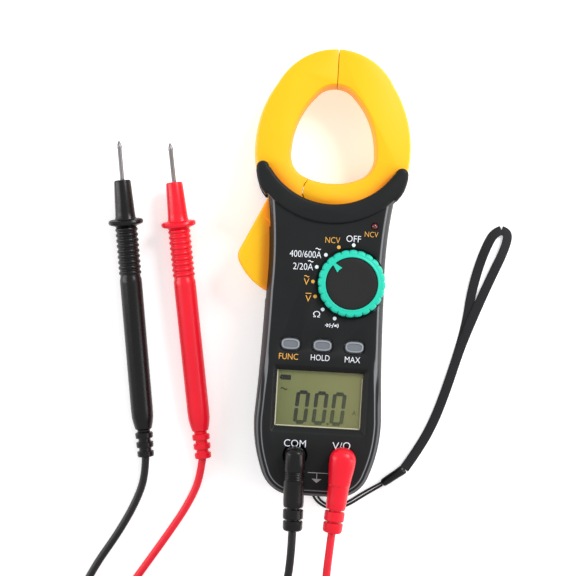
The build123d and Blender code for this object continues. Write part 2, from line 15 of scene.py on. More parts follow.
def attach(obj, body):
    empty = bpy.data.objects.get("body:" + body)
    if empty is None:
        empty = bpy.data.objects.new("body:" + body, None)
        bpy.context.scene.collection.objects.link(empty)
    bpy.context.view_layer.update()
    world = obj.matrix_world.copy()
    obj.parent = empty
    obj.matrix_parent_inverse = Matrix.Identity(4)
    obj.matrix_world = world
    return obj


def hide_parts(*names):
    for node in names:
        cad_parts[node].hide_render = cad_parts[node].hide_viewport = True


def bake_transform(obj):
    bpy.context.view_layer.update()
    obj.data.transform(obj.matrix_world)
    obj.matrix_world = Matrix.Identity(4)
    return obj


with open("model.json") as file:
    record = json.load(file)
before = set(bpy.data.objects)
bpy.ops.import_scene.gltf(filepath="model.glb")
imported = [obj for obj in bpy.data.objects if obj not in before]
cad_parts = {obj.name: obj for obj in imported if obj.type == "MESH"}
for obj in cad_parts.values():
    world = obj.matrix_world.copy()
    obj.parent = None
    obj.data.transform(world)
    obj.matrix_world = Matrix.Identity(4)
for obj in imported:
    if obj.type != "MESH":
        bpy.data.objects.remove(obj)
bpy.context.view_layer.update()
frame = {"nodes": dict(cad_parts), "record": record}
nodes = frame["nodes"]

MM = 0.001
TAU = math.tau
UP = Vector((0, 0, 1))

# ---- dimensions of the meter --------------------------------------------------------------------
FACE_Z = 30.0
PART_Z = 15.0
WALL = 2.2
HOLLOW_INSET = WALL + 3.2
COLLAR_Z = 31.5
SLOT_Z = (5.7, 24.3)
JAW_Z = (6.0, 24.0)
RING_Y = 64.2
NECK_R = 34.6
PIVOT = (-21.4, 30.0)
HUB_R = 9.9
KNOB = (11.4, -4.1)
POINTER_TURN = 135.0
BUTTONS = {"func": -14.3, "hold": 0.0, "max": 14.3}
BUTTON_Y = -32.5
LAMP = (20.3, 22.1)
DISPLAY_Y = -57.0
GLASS_Z = 26.2
SEGMENT_Z = 26.24
JACKS = {"black": -9.5, "red": 11.7}
JACK_Y = -82.3
PLUG_AXIS_Z = 36.6
PLUG_TURN = {"black": 1.3, "red": -5.2}
PROBE_TIPS = {"black": (-98.8, 55.8), "red": (-75.2, 56.1)}
PROBE_TURN = {"black": 8.0, "red": 9.2}
GUARD_ALONG, GUARD_R = 37.7, 8.1
BARREL_END, BARREL_R = 128.2, 5.1
CORD_R = 1.8
STRING_R = 0.55
WEBBING_WIDTH, WEBBING_THICK = 4.4, 0.62
BOSSES = ((-22.5, -16.0), (22.5, 12.0), (-22.0, -74.5), (22.0, -74.5))
DOOR_SCREW = (0.0, -81.5)

# ---- camera -------------------------------------------------------------------------------------
lens_holder = bpy.data.cameras.new("camera")
lens_holder.lens = 92.1
lens_holder.sensor_width = 36.0
lens_holder.clip_start = 0.01
camera = bpy.data.objects.new("camera", lens_holder)
camera.location = (-0.0169, -0.00765, 0.690)
camera.rotation_euler = (0.0, 0.0, math.radians(3.3))
bpy.context.scene.collection.objects.link(camera)
bpy.context.scene.camera = camera


# ---- mesh tools ---------------------------------------------------------------------------------
def linked(name, mesh):
    obj = bpy.data.objects.new(name, mesh)
    bpy.context.scene.collection.objects.link(obj)
    return obj


def shape(name, points, faces):
    """A mesh piece from points in millimetres."""
    mesh = bpy.data.meshes.new(name)
    mesh.from_pydata([(x * MM, y * MM, z * MM) for x, y, z in points], [], faces)
    return linked(name, mesh)


def band_faces(first, second, count):
    """Quads between two rings of points that start at these indices."""
    return [
        (first + n, first + (n + 1) % count, second + (n + 1) % count, second + n)
        for n in range(count)
    ]


def capped_faces(levels, count):
    """A cap, the bands between this many rings of points, and the other cap."""
    faces = [tuple(reversed(range(count)))]
    for level in range(levels - 1):
        faces += band_faces(level * count, (level + 1) * count, count)
    last = (levels - 1) * count
    faces.append(tuple(range(last, last + count)))
    return faces


def lofted(name, rings):
    """A closed solid through rings of equal count, each a list of points."""
    points = [p for ring in rings for p in ring]
    return shape(name, points, capped_faces(len(rings), len(rings[0])))


def looped(name, rings):
    """A closed band whose last ring joins its first, such as the knob's ring."""
    count = len(rings[0])
    points = [p for ring in rings for p in ring]
    faces = []
    for level in range(len(rings)):
        faces += band_faces(level * count, (level + 1) % len(rings) * count, count)
    return shape(name, points, faces)


def arc(start, via, end, steps=10):
    """Points on the circle through three points, from start to end."""
    (ax, ay), (bx, by), (cx, cy) = start, via, end
    d = 2 * (ax * (by - cy) + bx * (cy - ay) + cx * (ay - by))
    a2, b2, c2 = ax * ax + ay * ay, bx * bx + by * by, cx * cx + cy * cy
    ux = (a2 * (by - cy) + b2 * (cy - ay) + c2 * (ay - by)) / d
    uy = (a2 * (cx - bx) + b2 * (ax - cx) + c2 * (bx - ax)) / d
    radius = math.hypot(ax - ux, ay - uy)
    first = math.atan2(ay - uy, ax - ux)
    turn = (math.atan2(cy - uy, cx - ux) - first) % TAU
    middle = (math.atan2(by - uy, bx - ux) - first) % TAU
    if middle > turn:
        turn -= TAU
    angles = [first + turn * n / steps for n in range(steps + 1)]
    return [(ux + radius * math.cos(t), uy + radius * math.sin(t)) for t in angles]


def circle(x, y, radius, count=48):
    angles = [TAU * n / count for n in range(count)]
    return [(x + radius * math.cos(t), y + radius * math.sin(t)) for t in angles]


def circle_run(x, y, radius, first, last, steps):
    """Points along a circle between two angles in degrees."""
    angles = [math.radians(first + (last - first) * n / steps) for n in range(steps + 1)]
    return [(x + radius * math.cos(t), y + radius * math.sin(t)) for t in angles]


def rounded_box(x, y, width, depth, radius, steps=5):
    """A rectangle with round corners, counter-clockwise."""
    points = []
    for corner, (sx, sy) in enumerate(((1, -1), (1, 1), (-1, 1), (-1, -1))):
        cx, cy = x + sx * (width / 2 - radius), y + sy * (depth / 2 - radius)
        for n in range(steps + 1):
            t = math.radians(-90 + 90 * corner + 90 * n / steps)
            points.append((cx + radius * math.cos(t), cy + radius * math.sin(t)))
    return points


def pillow(x, y, width, depth, power=3.2):
    """A rectangle with bulging sides, for the buttons."""
    points = []
    for n in range(64):
        t = TAU * n / 64
        c, s = math.cos(t), math.sin(t)
        reach = (abs(c) ** power + abs(s) ** power) ** (-1 / power)
        points.append((x + width / 2 * c * reach, y + depth / 2 * s * reach))
    return points


def joined(*runs):
    """One outline from runs of points, without the points that two runs share."""
    outline = []
    for run in runs:
        for p in run:
            if not outline or math.dist(outline[-1], p) > 0.01:
                outline.append(p)
    if math.dist(outline[0], outline[-1]) < 0.01:
        outline.pop()
    return outline


def mirrored(points):
    return [(-x, y) for x, y in reversed(points)]


def inset(outline, amount):
    """The outline moved inward all round, or outward below zero."""
    moved = []
    for n, here in enumerate(outline):
        before, after = outline[n - 1], outline[(n + 1) % len(outline)]
        a = Vector((here[0] - before[0], here[1] - before[1])).normalized()
        b = Vector((after[0] - here[0], after[1] - here[1])).normalized()
        normal = Vector((-a.y - b.y, a.x + b.x))
        reach = normal.length / 2
        normal.normalize()
        step = amount / max(reach, 0.5)
        moved.append((here[0] + normal.x * step, here[1] + normal.y * step))
    return moved


def at_height(outline, z):
    return [(x, y, z) for x, y in outline]


def profiled(name, outline, profile):
    """A solid whose outline in plan is inset by a different amount at each height."""
    return lofted(name, [at_height(inset(outline, cut), z) for cut, z in profile])


def prism(name, outline, low, high):
    return lofted(name, [at_height(outline, low), at_height(outline, high)])


def turned(name, profile, count=40):
    """A solid of revolution about Z from its (height, radius) profile."""
    rings = [at_height(circle(0, 0, radius, count), height) for height, radius in profile]
    return lofted(name, rings)


def placed(obj, matrix):
    """The mesh moved to its place, the object left at the origin."""
    obj.data.transform(matrix)
    return obj


def settled(obj):
    """The piece with its modifiers worked into its mesh."""
    bpy.context.view_layer.update()
    view = bpy.context.evaluated_depsgraph_get()
    made = bpy.data.meshes.new_from_object(obj.evaluated_get(view))
    obj.modifiers.clear()
    old = obj.data
    obj.data = made
    bpy.data.meshes.remove(old)
    return obj


def worked(obj, mode, tools):
    """The piece after one boolean with each tool, which is used up."""
    for tool in tools:
        step = obj.modifiers.new("work", "BOOLEAN")
        step.operation = mode
        step.solver = "EXACT"
        step.object = tool
    settled(obj)
    for tool in tools:
        bpy.data.objects.remove(tool)
    return obj


def cut(obj, *tools):
    return worked(obj, "DIFFERENCE", tools)


def fused(obj, *tools):
    return worked(obj, "UNION", tools)


def kept(obj, *tools):
    return worked(obj, "INTERSECT", tools)


def merged(name, objects):
    """Several meshes as one piece."""
    work = bmesh.new()
    for obj in objects:
        work.from_mesh(obj.data)
    mesh = bpy.data.meshes.new(name)
    work.to_mesh(mesh)
    work.free()
    for obj in objects:
        bpy.data.objects.remove(obj)
    return linked(name, mesh)


def eased(obj, width, angle):
    """Sharp edges broken by a small round."""
    step = obj.modifiers.new("ease", "BEVEL")
    step.width = width * MM
    step.segments = 2
    step.limit_method = "ANGLE"
    step.angle_limit = math.radians(angle)
    return settled(obj)


def finished(obj, body, paint, slot, *replaced, crease=32.0):
    """Shading, finish, body and the CAD nodes that the piece stands for."""
    mesh = obj.data
    for polygon in mesh.polygons:
        polygon.use_smooth = True
    mesh.set_sharp_from_angle(angle=math.radians(crease))
    mesh.materials.clear()
    mesh.materials.append(paint)
    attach(obj, body)
    if replaced:
        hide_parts(*replaced)
    return obj


# ---- cords --------------------------------------------------------------------------------------
def line_through(points):
    """Points along the smooth line that a route's points pull a cord into."""
    curve = bpy.data.curves.new("route", "CURVE")
    curve.dimensions = "3D"
    spline = curve.splines.new("NURBS")
    spline.points.add(len(points) - 1)
    for knot, (x, y, z) in zip(spline.points, points):
        knot.co = (x, y, z, 1.0)
    spline.order_u = 3
    spline.use_endpoint_u = True
    curve.resolution_u = 6
    spline.resolution_u = 6
    holder = linked("route", curve)
    mesh = bpy.data.meshes.new_from_object(holder)
    line = [v.co.copy() for v in mesh.vertices]
    bpy.data.objects.remove(holder)
    bpy.data.meshes.remove(mesh)
    return line


def direction(line, n):
    """Which way a line runs at its point n."""
    return (line[min(n + 1, len(line) - 1)] - line[max(n - 1, 0)]).normalized()


def frames_along(line):
    """(point, side, up) at each point, carried along without twist."""
    found = []
    side = None
    for n, here in enumerate(line):
        ahead = direction(line, n)
        if side is None:
            side = ahead.cross(UP).normalized()
        side = (side - ahead * side.dot(ahead)).normalized()
        found.append((here, side, side.cross(ahead).normalized()))
    return found


def swept(name, points, levels):
    """A closed piece from the points of its sections, in metres."""
    mesh = bpy.data.meshes.new(name)
    mesh.from_pydata([tuple(p) for p in points], [], capped_faces(levels, len(points) // levels))
    return outward(linked(name, mesh))


def tube(name, line, radius, sides=14):
    """A round tube round a line in metres."""
    points = []
    for here, side, rise in frames_along(line):
        for n in range(sides):
            t = TAU * n / sides
            points.append(here + (side * math.cos(t) + rise * math.sin(t)) * radius * MM)
    return swept(name, points, len(line))


def outward(obj):
    """All faces turned to face out."""
    work = bmesh.new()
    work.from_mesh(obj.data)
    bmesh.ops.recalc_face_normals(work, faces=work.faces)
    work.to_mesh(obj.data)
    work.free()
    return obj


def length_of(line):
    return sum((b - a).length for a, b in zip(line, line[1:]))


# A lead's spare length lies in a coil of this many turns, from its top turn to the table.
COIL_TOP = 0.02055
COIL_FOOT = 0.0018
TURNS = 5
TURN_POINTS = 20


def coil_turns(center, radius, start, way):
    """The coil's own points, from its top turn down to the one on the table."""
    wide = radius / math.cos(math.pi / TURN_POINTS)
    total = TURNS * TURN_POINTS
    points = []
    for n in range(1, total):
        t = math.radians(start) + way * TAU * n / TURN_POINTS
        loose = wide + 0.0005 * math.sin(2.6 * n / TURN_POINTS)
        z = COIL_TOP + (COIL_FOOT - COIL_TOP) * n / total
        points.append((center[0] + loose * math.cos(t), center[1] + loose * math.sin(t), z))
    return points


BLACK_FROM_PLUG = [
    (-0.00881, -0.1131, 0.0366), (-0.0087, -0.1240, 0.0362), (-0.0096, -0.1385, 0.0326),
    (-0.0130, -0.1550, 0.0270), (-0.0196, -0.1705, 0.0232), (-0.0320, -0.1845, 0.0212),
    (-0.0500, -0.1873, 0.02055),
]
BLACK_TO_PROBE = [
    (-0.0500, -0.1873, 0.0018), (-0.0710, -0.1870, 0.0018), (-0.0925, -0.1825, 0.0018),
    (-0.1038, -0.1720, 0.0018), (-0.1060, -0.1570, 0.0018), (-0.0993, -0.1420, 0.0018),
    (-0.0895, -0.1265, 0.0018), (-0.0820, -0.1115, 0.0019), (-0.0781, -0.0986, 0.0028),
    (-0.07861, -0.0877, 0.0047),
]
RED_FROM_PLUG = [
    (0.00886, -0.1130, 0.0366), (0.0080, -0.1240, 0.0362), (0.0073, -0.1380, 0.0324),
    (0.0086, -0.1535, 0.0256), (0.0102, -0.1700, 0.02055),
]
RED_TO_PROBE = [
    (0.0102, -0.1700, 0.0018), (0.0080, -0.1880, 0.0018), (-0.0024, -0.2025, 0.0018),
    (-0.0200, -0.2105, 0.0018), (-0.0440, -0.2130, 0.0018), (-0.0710, -0.2135, 0.0018),
    (-0.0890, -0.2090, 0.0018), (-0.0984, -0.1986, 0.0026), (-0.0996, -0.1846, 0.0061),
    (-0.0944, -0.1708, 0.0061), (-0.0862, -0.1568, 0.0023), (-0.0768, -0.1420, 0.0018),
    (-0.0665, -0.1260, 0.0018), (-0.0578, -0.1115, 0.0019), (-0.0524, -0.0980, 0.0028),
    (-0.05203, -0.0869, 0.0047),
]
LEAD_ROUTES = {
    "black": BLACK_FROM_PLUG
    + coil_turns((-0.0500, -0.1670), 0.0203, -90.0, -1)
    + BLACK_TO_PROBE,
    "red": RED_FROM_PLUG
    + coil_turns((0.0288, -0.1700), 0.0186, 180.0, 1)
    + RED_TO_PROBE,
}
STRING_ROUTE = [
    (0.0324, -0.0969, 0.0018), (0.0247, -0.1020, 0.0009), (0.0162, -0.1082, 0.0006),
    (0.0084, -0.1099, 0.0006), (0.0024, -0.1070, 0.0007), (-0.0002, -0.1030, 0.0010),
    (-0.0006, -0.0995, 0.0014), (0.0010, -0.0982, 0.0015), (0.0026, -0.0995, 0.0014),
    (0.0020, -0.1030, 0.0010), (0.0040, -0.1062, 0.0007), (0.0088, -0.1085, 0.0006),
    (0.0158, -0.1068, 0.0006), (0.0240, -0.1006, 0.0009), (0.0318, -0.0959, 0.0018),
]
WEBBING_ROUTES = {
    "lower": [
        (0.0421, -0.0888, 0.0018), (0.0494, -0.0776, 0.0006), (0.0554, -0.0644, 0.0004),
        (0.0602, -0.0490, 0.0004), (0.0650, -0.0310, 0.0004), (0.0676, -0.0180, 0.0005),
        (0.0688, -0.0050, 0.0009), (0.0716, 0.0080, 0.0013), (0.0752, 0.0186, 0.0012),
        (0.0782, 0.0240, 0.0010), (0.0812, 0.0250, 0.0009),
    ],
    "upper": [
        (0.0421, -0.0888, 0.0025), (0.0494, -0.0776, 0.0013), (0.0554, -0.0644, 0.0011),
        (0.0602, -0.0490, 0.0011), (0.0650, -0.0310, 0.0011), (0.0696, -0.0180, 0.0013),
        (0.0738, -0.0066, 0.0015), (0.0784, 0.0050, 0.0016), (0.0824, 0.0144, 0.0016),
        (0.0843, 0.0212, 0.0014), (0.0838, 0.0243, 0.0011), (0.0812, 0.0250, 0.0009),
    ],
}
LEAD_LINES = {colour: line_through(route) for colour, route in LEAD_ROUTES.items()}
STRING_LINE = line_through(STRING_ROUTE)
WEBBING_LINES = {layer: line_through(route) for layer, route in WEBBING_ROUTES.items()}


# ---- finishes -----------------------------------------------------------------------------------
class Signal:
    """A shader socket that arithmetic is written on."""

    def __init__(self, paint, socket):
        self.paint = paint
        self.socket = socket

    def math(self, operation, a, b=0.0, clamp=False):
        settings = {"operation": operation, "use_clamp": clamp}
        return self.paint.node("ShaderNodeMath", settings, {0: a, 1: b})

    def __add__(self, other):
        return self.math("ADD", self, other)

    __radd__ = __add__

    def __mul__(self, other):
        return self.math("MULTIPLY", self, other)

    __rmul__ = __mul__

    def __sub__(self, other):
        return self.math("SUBTRACT", self, other)

    def __rsub__(self, other):
        return self.math("SUBTRACT", other, self)

    def __truediv__(self, other):
        return self.math("DIVIDE", self, other)

    def __pow__(self, other):
        return self.math("POWER", self, other)

    def sine(self):
        return self.math("SINE", self)

    def held(self):
        """Kept between 0 and 1."""
        return self.math("ADD", self, 0.0, clamp=True)

    def ramp(self, low, high):
        """0 below low, 1 above high and smooth between."""
        settings = {"interpolation_type": "SMOOTHSTEP"}
        inputs = {"Value": self, "From Min": low, "From Max": high}
        return self.paint.node("ShaderNodeMapRange", settings, inputs)


class Paint:
    """One procedural finish, built on a Principled shader."""

    def __init__(self, name, **fixed):
        self.material = bpy.data.materials.new(name)
        self.material.use_nodes = True
        self.tree = self.material.node_tree
        self.shader = self.tree.nodes["Principled BSDF"]
        for socket, value in fixed.items():
            self.shader.inputs[socket.replace("_", " ")].default_value = value

    def node(self, kind, settings=None, inputs=None, output=0):
        made = self.tree.nodes.new(kind)
        for key, value in (settings or {}).items():
            setattr(made, key, value)
        for key, value in (inputs or {}).items():
            if isinstance(value, Signal):
                self.tree.links.new(value.socket, made.inputs[key])
            else:
                made.inputs[key].default_value = value
        return Signal(self, made.outputs[output])

    def feed(self, socket, signal):
        self.tree.links.new(signal.socket, self.shader.inputs[socket])

    def place(self):
        """Where a point is on the meter, in metres."""
        return self.node("ShaderNodeTexCoord", output="Object")

    def axes(self):
        apart = self.node("ShaderNodeSeparateXYZ", inputs={"Vector": self.place()})
        outputs = apart.socket.node.outputs
        return [Signal(self, outputs[n]) for n in range(3)]

    def stretched(self, x, y, z):
        settings = {"operation": "MULTIPLY"}
        return self.node("ShaderNodeVectorMath", settings, {0: self.place(), 1: (x, y, z)})

    def noise(self, size, detail=2.0, roughness=0.5, vector=None):
        """Soft mottling with spots of about this size in millimetres."""
        inputs = {
            "Vector": vector or self.place(),
            "Scale": 1.0 / (size * MM),
            "Detail": detail,
            "Roughness": roughness,
        }
        return self.node("ShaderNodeTexNoise", inputs=inputs)

    def mixed(self, factor, first, second):
        """One colour going to another."""
        settings = {"data_type": "RGBA"}
        return self.node("ShaderNodeMix", settings, {0: factor, 6: first, 7: second}, output=2)

    def bumped(self, height, depth):
        """A bump of this depth in millimetres on the surface."""
        inputs = {"Height": height, "Distance": depth * MM, "Strength": 1.0}
        self.feed("Normal", self.node("ShaderNodeBump", inputs=inputs))


def rgb(red, green, blue):
    """A linear colour from screen values of 0 to 255."""
    def linear(value):
        value /= 255.0
        return value / 12.92 if value <= 0.04045 else ((value + 0.055) / 1.055) ** 2.4

    return (linear(red), linear(green), linear(blue), 1.0)


def shaded(colour, factor):
    return tuple(c * factor for c in colour[:3]) + (1.0,)


def moulded(name, colour, roughness, grain=0.35, depth=0.012, drift=0.12, **fixed):
    """Moulded plastic: fine spark-eroded grain, a slow drift in tone and small rubbed patches."""
    paint = Paint(name, **fixed)
    fine = paint.noise(grain, detail=3.0)
    slow = paint.noise(14.0, detail=2.0)
    rubbed = paint.noise(3.0, detail=4.0, roughness=0.6).ramp(0.45, 0.75)
    paint.feed("Base Color", paint.mixed(slow, shaded(colour, 1 - drift), shaded(colour, 1 + drift)))
    paint.feed("Roughness", (rubbed * 0.06 + fine * 0.05 + (roughness - 0.05)).held())
    paint.bumped(fine, depth)
    return paint.material


def case_paint():
    """Fine-grained black moulding, with a painted highlight along its shoulders and painted shade down
    its sides.
    """
    paint = Paint("case_black", Specular_IOR_Level=0.18)
    x, y, z = paint.axes()
    fine = paint.noise(0.4, detail=3.0)
    slow = paint.noise(14.0, detail=2.0)
    # Painted highlight: a pale, glossier band on the shoulder's roll-over, and on the step below the
    # keys, stands in for the lights' reflection there.
    shoulder = (x.math("ABSOLUTE", x).ramp(0.0218, 0.0222) + (1 - y.ramp(-0.088, -0.086))).held()
    rim = z.ramp(0.02890, 0.02930) * (1 - z.ramp(0.02978, 0.02994))
    step = z.ramp(0.0279, 0.0281) * (1 - z.ramp(0.0284, 0.0285)) * (1 - y.ramp(-0.060, -0.040))
    painted_highlight = ((rim + step * 0.7) * shoulder * (1 - y.ramp(0.032, 0.037))).held()
    face = paint.mixed(slow, rgb(23, 24, 25), rgb(28, 29, 30))
    # Painted shade: below the shoulder the side walls are much darker than the face, for the shade
    # that falls on them.
    body = paint.mixed(z.ramp(0.0262, 0.0288), rgb(12, 12, 13), face)
    paint.feed("Base Color", paint.mixed(painted_highlight * 0.9, body, rgb(118, 119, 123)))
    paint.feed("Roughness", (fine * 0.05 + slow * 0.04 + 0.42 - painted_highlight * 0.12).held())
    paint.bumped(fine, 0.008)
    return paint.material


def metal(name, colour, roughness):
    """Plated or bare metal with fine turning marks and a slight tarnish."""
    paint = Paint(name, Metallic=1.0)
    marks = paint.noise(0.2, detail=2.0)
    tarnish = paint.noise(2.5, detail=4.0)
    paint.feed("Base Color", paint.mixed(tarnish, shaded(colour, 0.82), colour))
    paint.feed("Roughness", (marks * 0.06 + tarnish * 0.12 + roughness).held())
    paint.bumped(marks, 0.004)
    return paint.material


def jaw_paint():
    """Glossy yellow, with painted shade: orange in the corners by the collar and the case and low on
    the window's inner wall.
    """
    paint = Paint("jaw_yellow", Specular_IOR_Level=0.3)
    x, y, z = paint.axes()
    center = (0.0, RING_Y * MM, JAW_Z[1] * MM)
    fine = paint.noise(0.5, detail=2.0)
    slow = paint.noise(18.0)
    yellow = paint.mixed(slow, rgb(249, 182, 10), rgb(252, 190, 14))
    # Painted shade: orange painted by the collar, beside the case and low on the window's inner wall,
    # where the jaws lie in shade.
    ring = paint.node(
        "ShaderNodeVectorMath", {"operation": "DISTANCE"}, {0: paint.place(), 1: center}, 1
    )
    near_collar = ring.ramp(0.0285, 0.0340) * (1 - ring.ramp(0.0350, 0.0368))
    near_collar = near_collar * (1 - y.ramp(0.042, 0.052)) * y.ramp(0.030, 0.034)
    off_axis = x.math("ABSOLUTE", x).ramp(0.008, 0.026)
    beside_case = x.ramp(-0.0315, -0.0275) * (1 - y.ramp(0.030, 0.036))
    inner_wall = (1 - z.ramp(0.0200, 0.0225)) * y.ramp(0.060, 0.086)
    painted_shade = (near_collar * (off_axis * 0.75 + 0.15) + beside_case * 0.65 + inner_wall * 0.3).held()
    paint.feed("Base Color", paint.mixed(painted_shade, yellow, rgb(250, 128, 12)))
    paint.feed("Roughness", (fine * 0.08 + slow * 0.06 + 0.36).held())
    paint.bumped(fine, 0.006)
    return paint.material


def button_paint():
    """Grey rubber with a paler rim, a painted highlight."""
    paint = Paint("button_grey", Specular_IOR_Level=0.3)
    z = paint.axes()[2]
    fine = paint.noise(0.4, detail=3.0)
    slow = paint.noise(14.0)
    face = paint.mixed(slow, rgb(104, 109, 115), rgb(111, 116, 122))
    # Painted highlight: the raised rim above the key's face is paler, for the light that it catches.
    paint.feed("Base Color", paint.mixed(z.ramp(0.03072, 0.03092), face, rgb(142, 145, 153)))
    paint.feed("Roughness", (fine * 0.08 + 0.48).held())
    paint.bumped(fine, 0.01)
    return paint.material


def rubber_cord(name, colour, roughness):
    """Soft extruded insulation: a faint lengthwise ripple and a dusty sheen."""
    paint = Paint(name, Specular_IOR_Level=0.4)
    ripple = paint.noise(1.6, detail=2.0)
    fine = paint.noise(0.25, detail=2.0)
    paint.feed("Base Color", paint.mixed(ripple, shaded(colour, 0.9), shaded(colour, 1.08)))
    paint.feed("Roughness", (fine * 0.1 + ripple * 0.1 + roughness).held())
    paint.bumped(fine + ripple * 2.0, 0.01)
    return paint.material


def webbing_paint():
    """Woven nylon: slanted ribs crossed by a fine weft."""
    paint = Paint("strap_nylon", Sheen_Weight=0.15, Specular_IOR_Level=0.25)
    x, y = paint.axes()[:2]
    along = (x * 3200.0 + y * 7600.0).sine()
    across = (x * 9000.0 - y * 3800.0).sine()
    weave = (along * 0.5 + across * 0.5) * 0.5 + 0.5
    fuzz = paint.noise(0.3, detail=3.0)
    paint.feed("Base Color", paint.mixed(weave * 0.7 + fuzz * 0.3, rgb(10, 10, 12), rgb(36, 36, 40)))
    paint.feed("Roughness", (fuzz * 0.2 + 0.62).held())
    paint.bumped(weave + fuzz * 0.4, 0.06)
    return paint.material


def lcd_paint():
    """Reflective olive glass, paler and warmer to the upper right as painted light, with faint rubbing
    lines.
    """
    paint = Paint("lcd_glass", Specular_IOR_Level=0.12)
    x, y = paint.axes()[:2]
    # Painted light: the glass grows paler and warmer towards the upper right, the side the key light
    # comes from.
    painted_light_lean = (x * 14.0 + y * 8.0 + 0.95).held()
    fine = paint.noise(1.2, detail=4.0, vector=paint.stretched(0.35, 1.0, 1.0))
    tone = paint.mixed(painted_light_lean, rgb(92, 101, 52), rgb(119, 118, 70))
    paint.feed("Base Color", paint.mixed(fine * 0.25, tone, rgb(126, 128, 84)))
    paint.feed("Roughness", (fine * 0.1 + 0.3).held())
    return paint.material


def segment_paint():
    """The LCD's driven segments, weaker to the lower right."""
    paint = Paint("lcd_segments", Specular_IOR_Level=0.05)
    x, y = paint.axes()[:2]
    weak = (x * 17.0 - y * 30.0 - 1.52).held()
    grain = paint.noise(0.5, detail=2.0)
    paint.feed("Base Color", paint.mixed(weak * 0.85 + grain * 0.04, rgb(8, 12, 9), rgb(84, 90, 54)))
    paint.feed("Roughness", (grain * 0.1 + 0.45).held())
    return paint.material


def clear_paint():
    """Thin clear acrylic: nearly invisible but for its shine."""
    paint = Paint("clear_plastic", Specular_IOR_Level=0.08)
    smear = paint.noise(5.0, detail=4.0)
    haze = paint.noise(0.4)
    paint.feed("Base Color", paint.mixed(smear, (0.75, 0.8, 0.75, 1), (0.9, 0.92, 0.9, 1)))
    paint.feed("Roughness", (smear * 0.06 + 0.05).held())
    paint.feed("Alpha", (smear * 0.01 + haze * 0.005 + 0.012).held())
    return paint.material


def led_paint():
    """Dark red lens with a shiny coat."""
    paint = Paint("red_lens", Coat_Weight=0.8, Coat_Roughness=0.05)
    deep = paint.noise(0.8, detail=2.0)
    paint.feed("Base Color", paint.mixed(deep, rgb(48, 3, 6), rgb(112, 10, 16)))
    paint.feed("Roughness", (deep * 0.1 + 0.12).held())
    return paint.material


def board_paint():
    """Green circuit board with paler tracks."""
    paint = Paint("circuit_board", Specular_IOR_Level=0.5)
    x, y = paint.axes()[:2]
    tracks = ((x * 2500.0).sine() * (y * 1700.0).sine()).ramp(0.1, 0.35)
    mottling = paint.noise(6.0, detail=3.0)
    paint.feed("Base Color", paint.mixed(tracks * mottling, rgb(12, 74, 40), rgb(48, 126, 70)))
    paint.feed("Roughness", (mottling * 0.15 + 0.3).held())
    paint.bumped(tracks, 0.03)
    return paint.material


def wound_paint():
    """Enamelled copper wire laid side by side."""
    paint = Paint("copper_wire", Metallic=0.7)
    z = paint.axes()[2]
    wires = (z * 12000.0).sine() * 0.5 + 0.5
    tone = paint.noise(4.0)
    paint.feed("Base Color", paint.mixed(wires * 0.6 + tone * 0.4, rgb(96, 38, 16), rgb(196, 108, 54)))
    paint.feed("Roughness", (tone * 0.2 + 0.25).held())
    paint.bumped(wires, 0.08)
    return paint.material


def battery_paint():
    """A plain wrap: a black sleeve with a copper-coloured band at the button end."""
    paint = Paint("battery_wrap", Coat_Weight=0.3)
    y = paint.axes()[1]
    band = y.ramp(-0.0405, -0.0400)
    worn = paint.noise(1.5, detail=4.0)
    sleeve = paint.mixed(worn, rgb(26, 26, 30), rgb(40, 40, 46))
    paint.feed("Base Color", paint.mixed(band, sleeve, rgb(190, 120, 62)))
    paint.feed("Roughness", (worn * 0.15 + 0.28).held())
    return paint.material


def floor_paint():
    """The pale table, lit a little from within so that shadows on it stay soft."""
    glow = {"Emission_Color": (1, 1, 1, 1), "Emission_Strength": 0.34}
    paint = Paint("pale_floor", Specular_IOR_Level=0.1, **glow)
    soft = paint.noise(120.0, detail=2.0)
    paint.feed("Base Color", paint.mixed(soft, (0.93, 0.93, 0.93, 1), (0.96, 0.96, 0.96, 1)))
    paint.feed("Roughness", (soft * 0.05 + 0.85).held())
    return paint.material


CASE = case_paint()
KNOB_BLACK = moulded("knob_black", rgb(29, 29, 29), 0.5, 0.3, 0.008, 0.06, Specular_IOR_Level=0.25)
TEAL = moulded("knob_teal", rgb(32, 196, 168), 0.42, 0.4, 0.008, 0.05, Specular_IOR_Level=0.3)
BUTTON_GREY = button_paint()
YELLOW = jaw_paint()
WHITE_INK = moulded("white_ink", rgb(228, 232, 240), 0.55, 0.5, 0.004, 0.03)
GREY_INK = moulded("grey_ink", rgb(165, 166, 168), 0.55, 0.5, 0.004, 0.05)
ORANGE_INK = moulded("orange_ink", rgb(226, 164, 62), 0.55, 0.5, 0.004, 0.05)
BLACK_BOOT = moulded("plug_black", rgb(13, 13, 15), 0.30, 0.5, 0.01, 0.12, Specular_IOR_Level=0.28)
RED_BOOT = moulded("plug_red", rgb(226, 16, 40), 0.32, 0.5, 0.01, 0.06, Specular_IOR_Level=0.35)
BLACK_CORD = rubber_cord("cord_black", rgb(16, 16, 18), 0.34)
RED_CORD = rubber_cord("cord_red", rgb(226, 24, 46), 0.34)
STEEL = metal("steel", (0.62, 0.62, 0.64, 1), 0.26)
NEEDLE = metal("needle_steel", (0.30, 0.29, 0.30, 1), 0.3)
NICKEL = metal("nickel", (0.66, 0.64, 0.60, 1), 0.24)
BRASS = metal("brass", (0.78, 0.58, 0.26, 1), 0.25)
IRON = metal("core_iron", (0.30, 0.29, 0.28, 1), 0.42)
WEBBING = webbing_paint()
LCD = lcd_paint()
SEGMENTS = segment_paint()
CLEAR = clear_paint()
LED_RED = led_paint()
CREAM = moulded("cream_edge", rgb(214, 208, 180), 0.5, 0.5, 0.004, 0.05)
WHITE_PLASTIC = moulded("white_plastic", rgb(224, 224, 220), 0.45)
ELASTOMER = moulded("elastomer", rgb(52, 52, 56), 0.7)
EPOXY = moulded("chip_epoxy", rgb(30, 30, 32), 0.55)
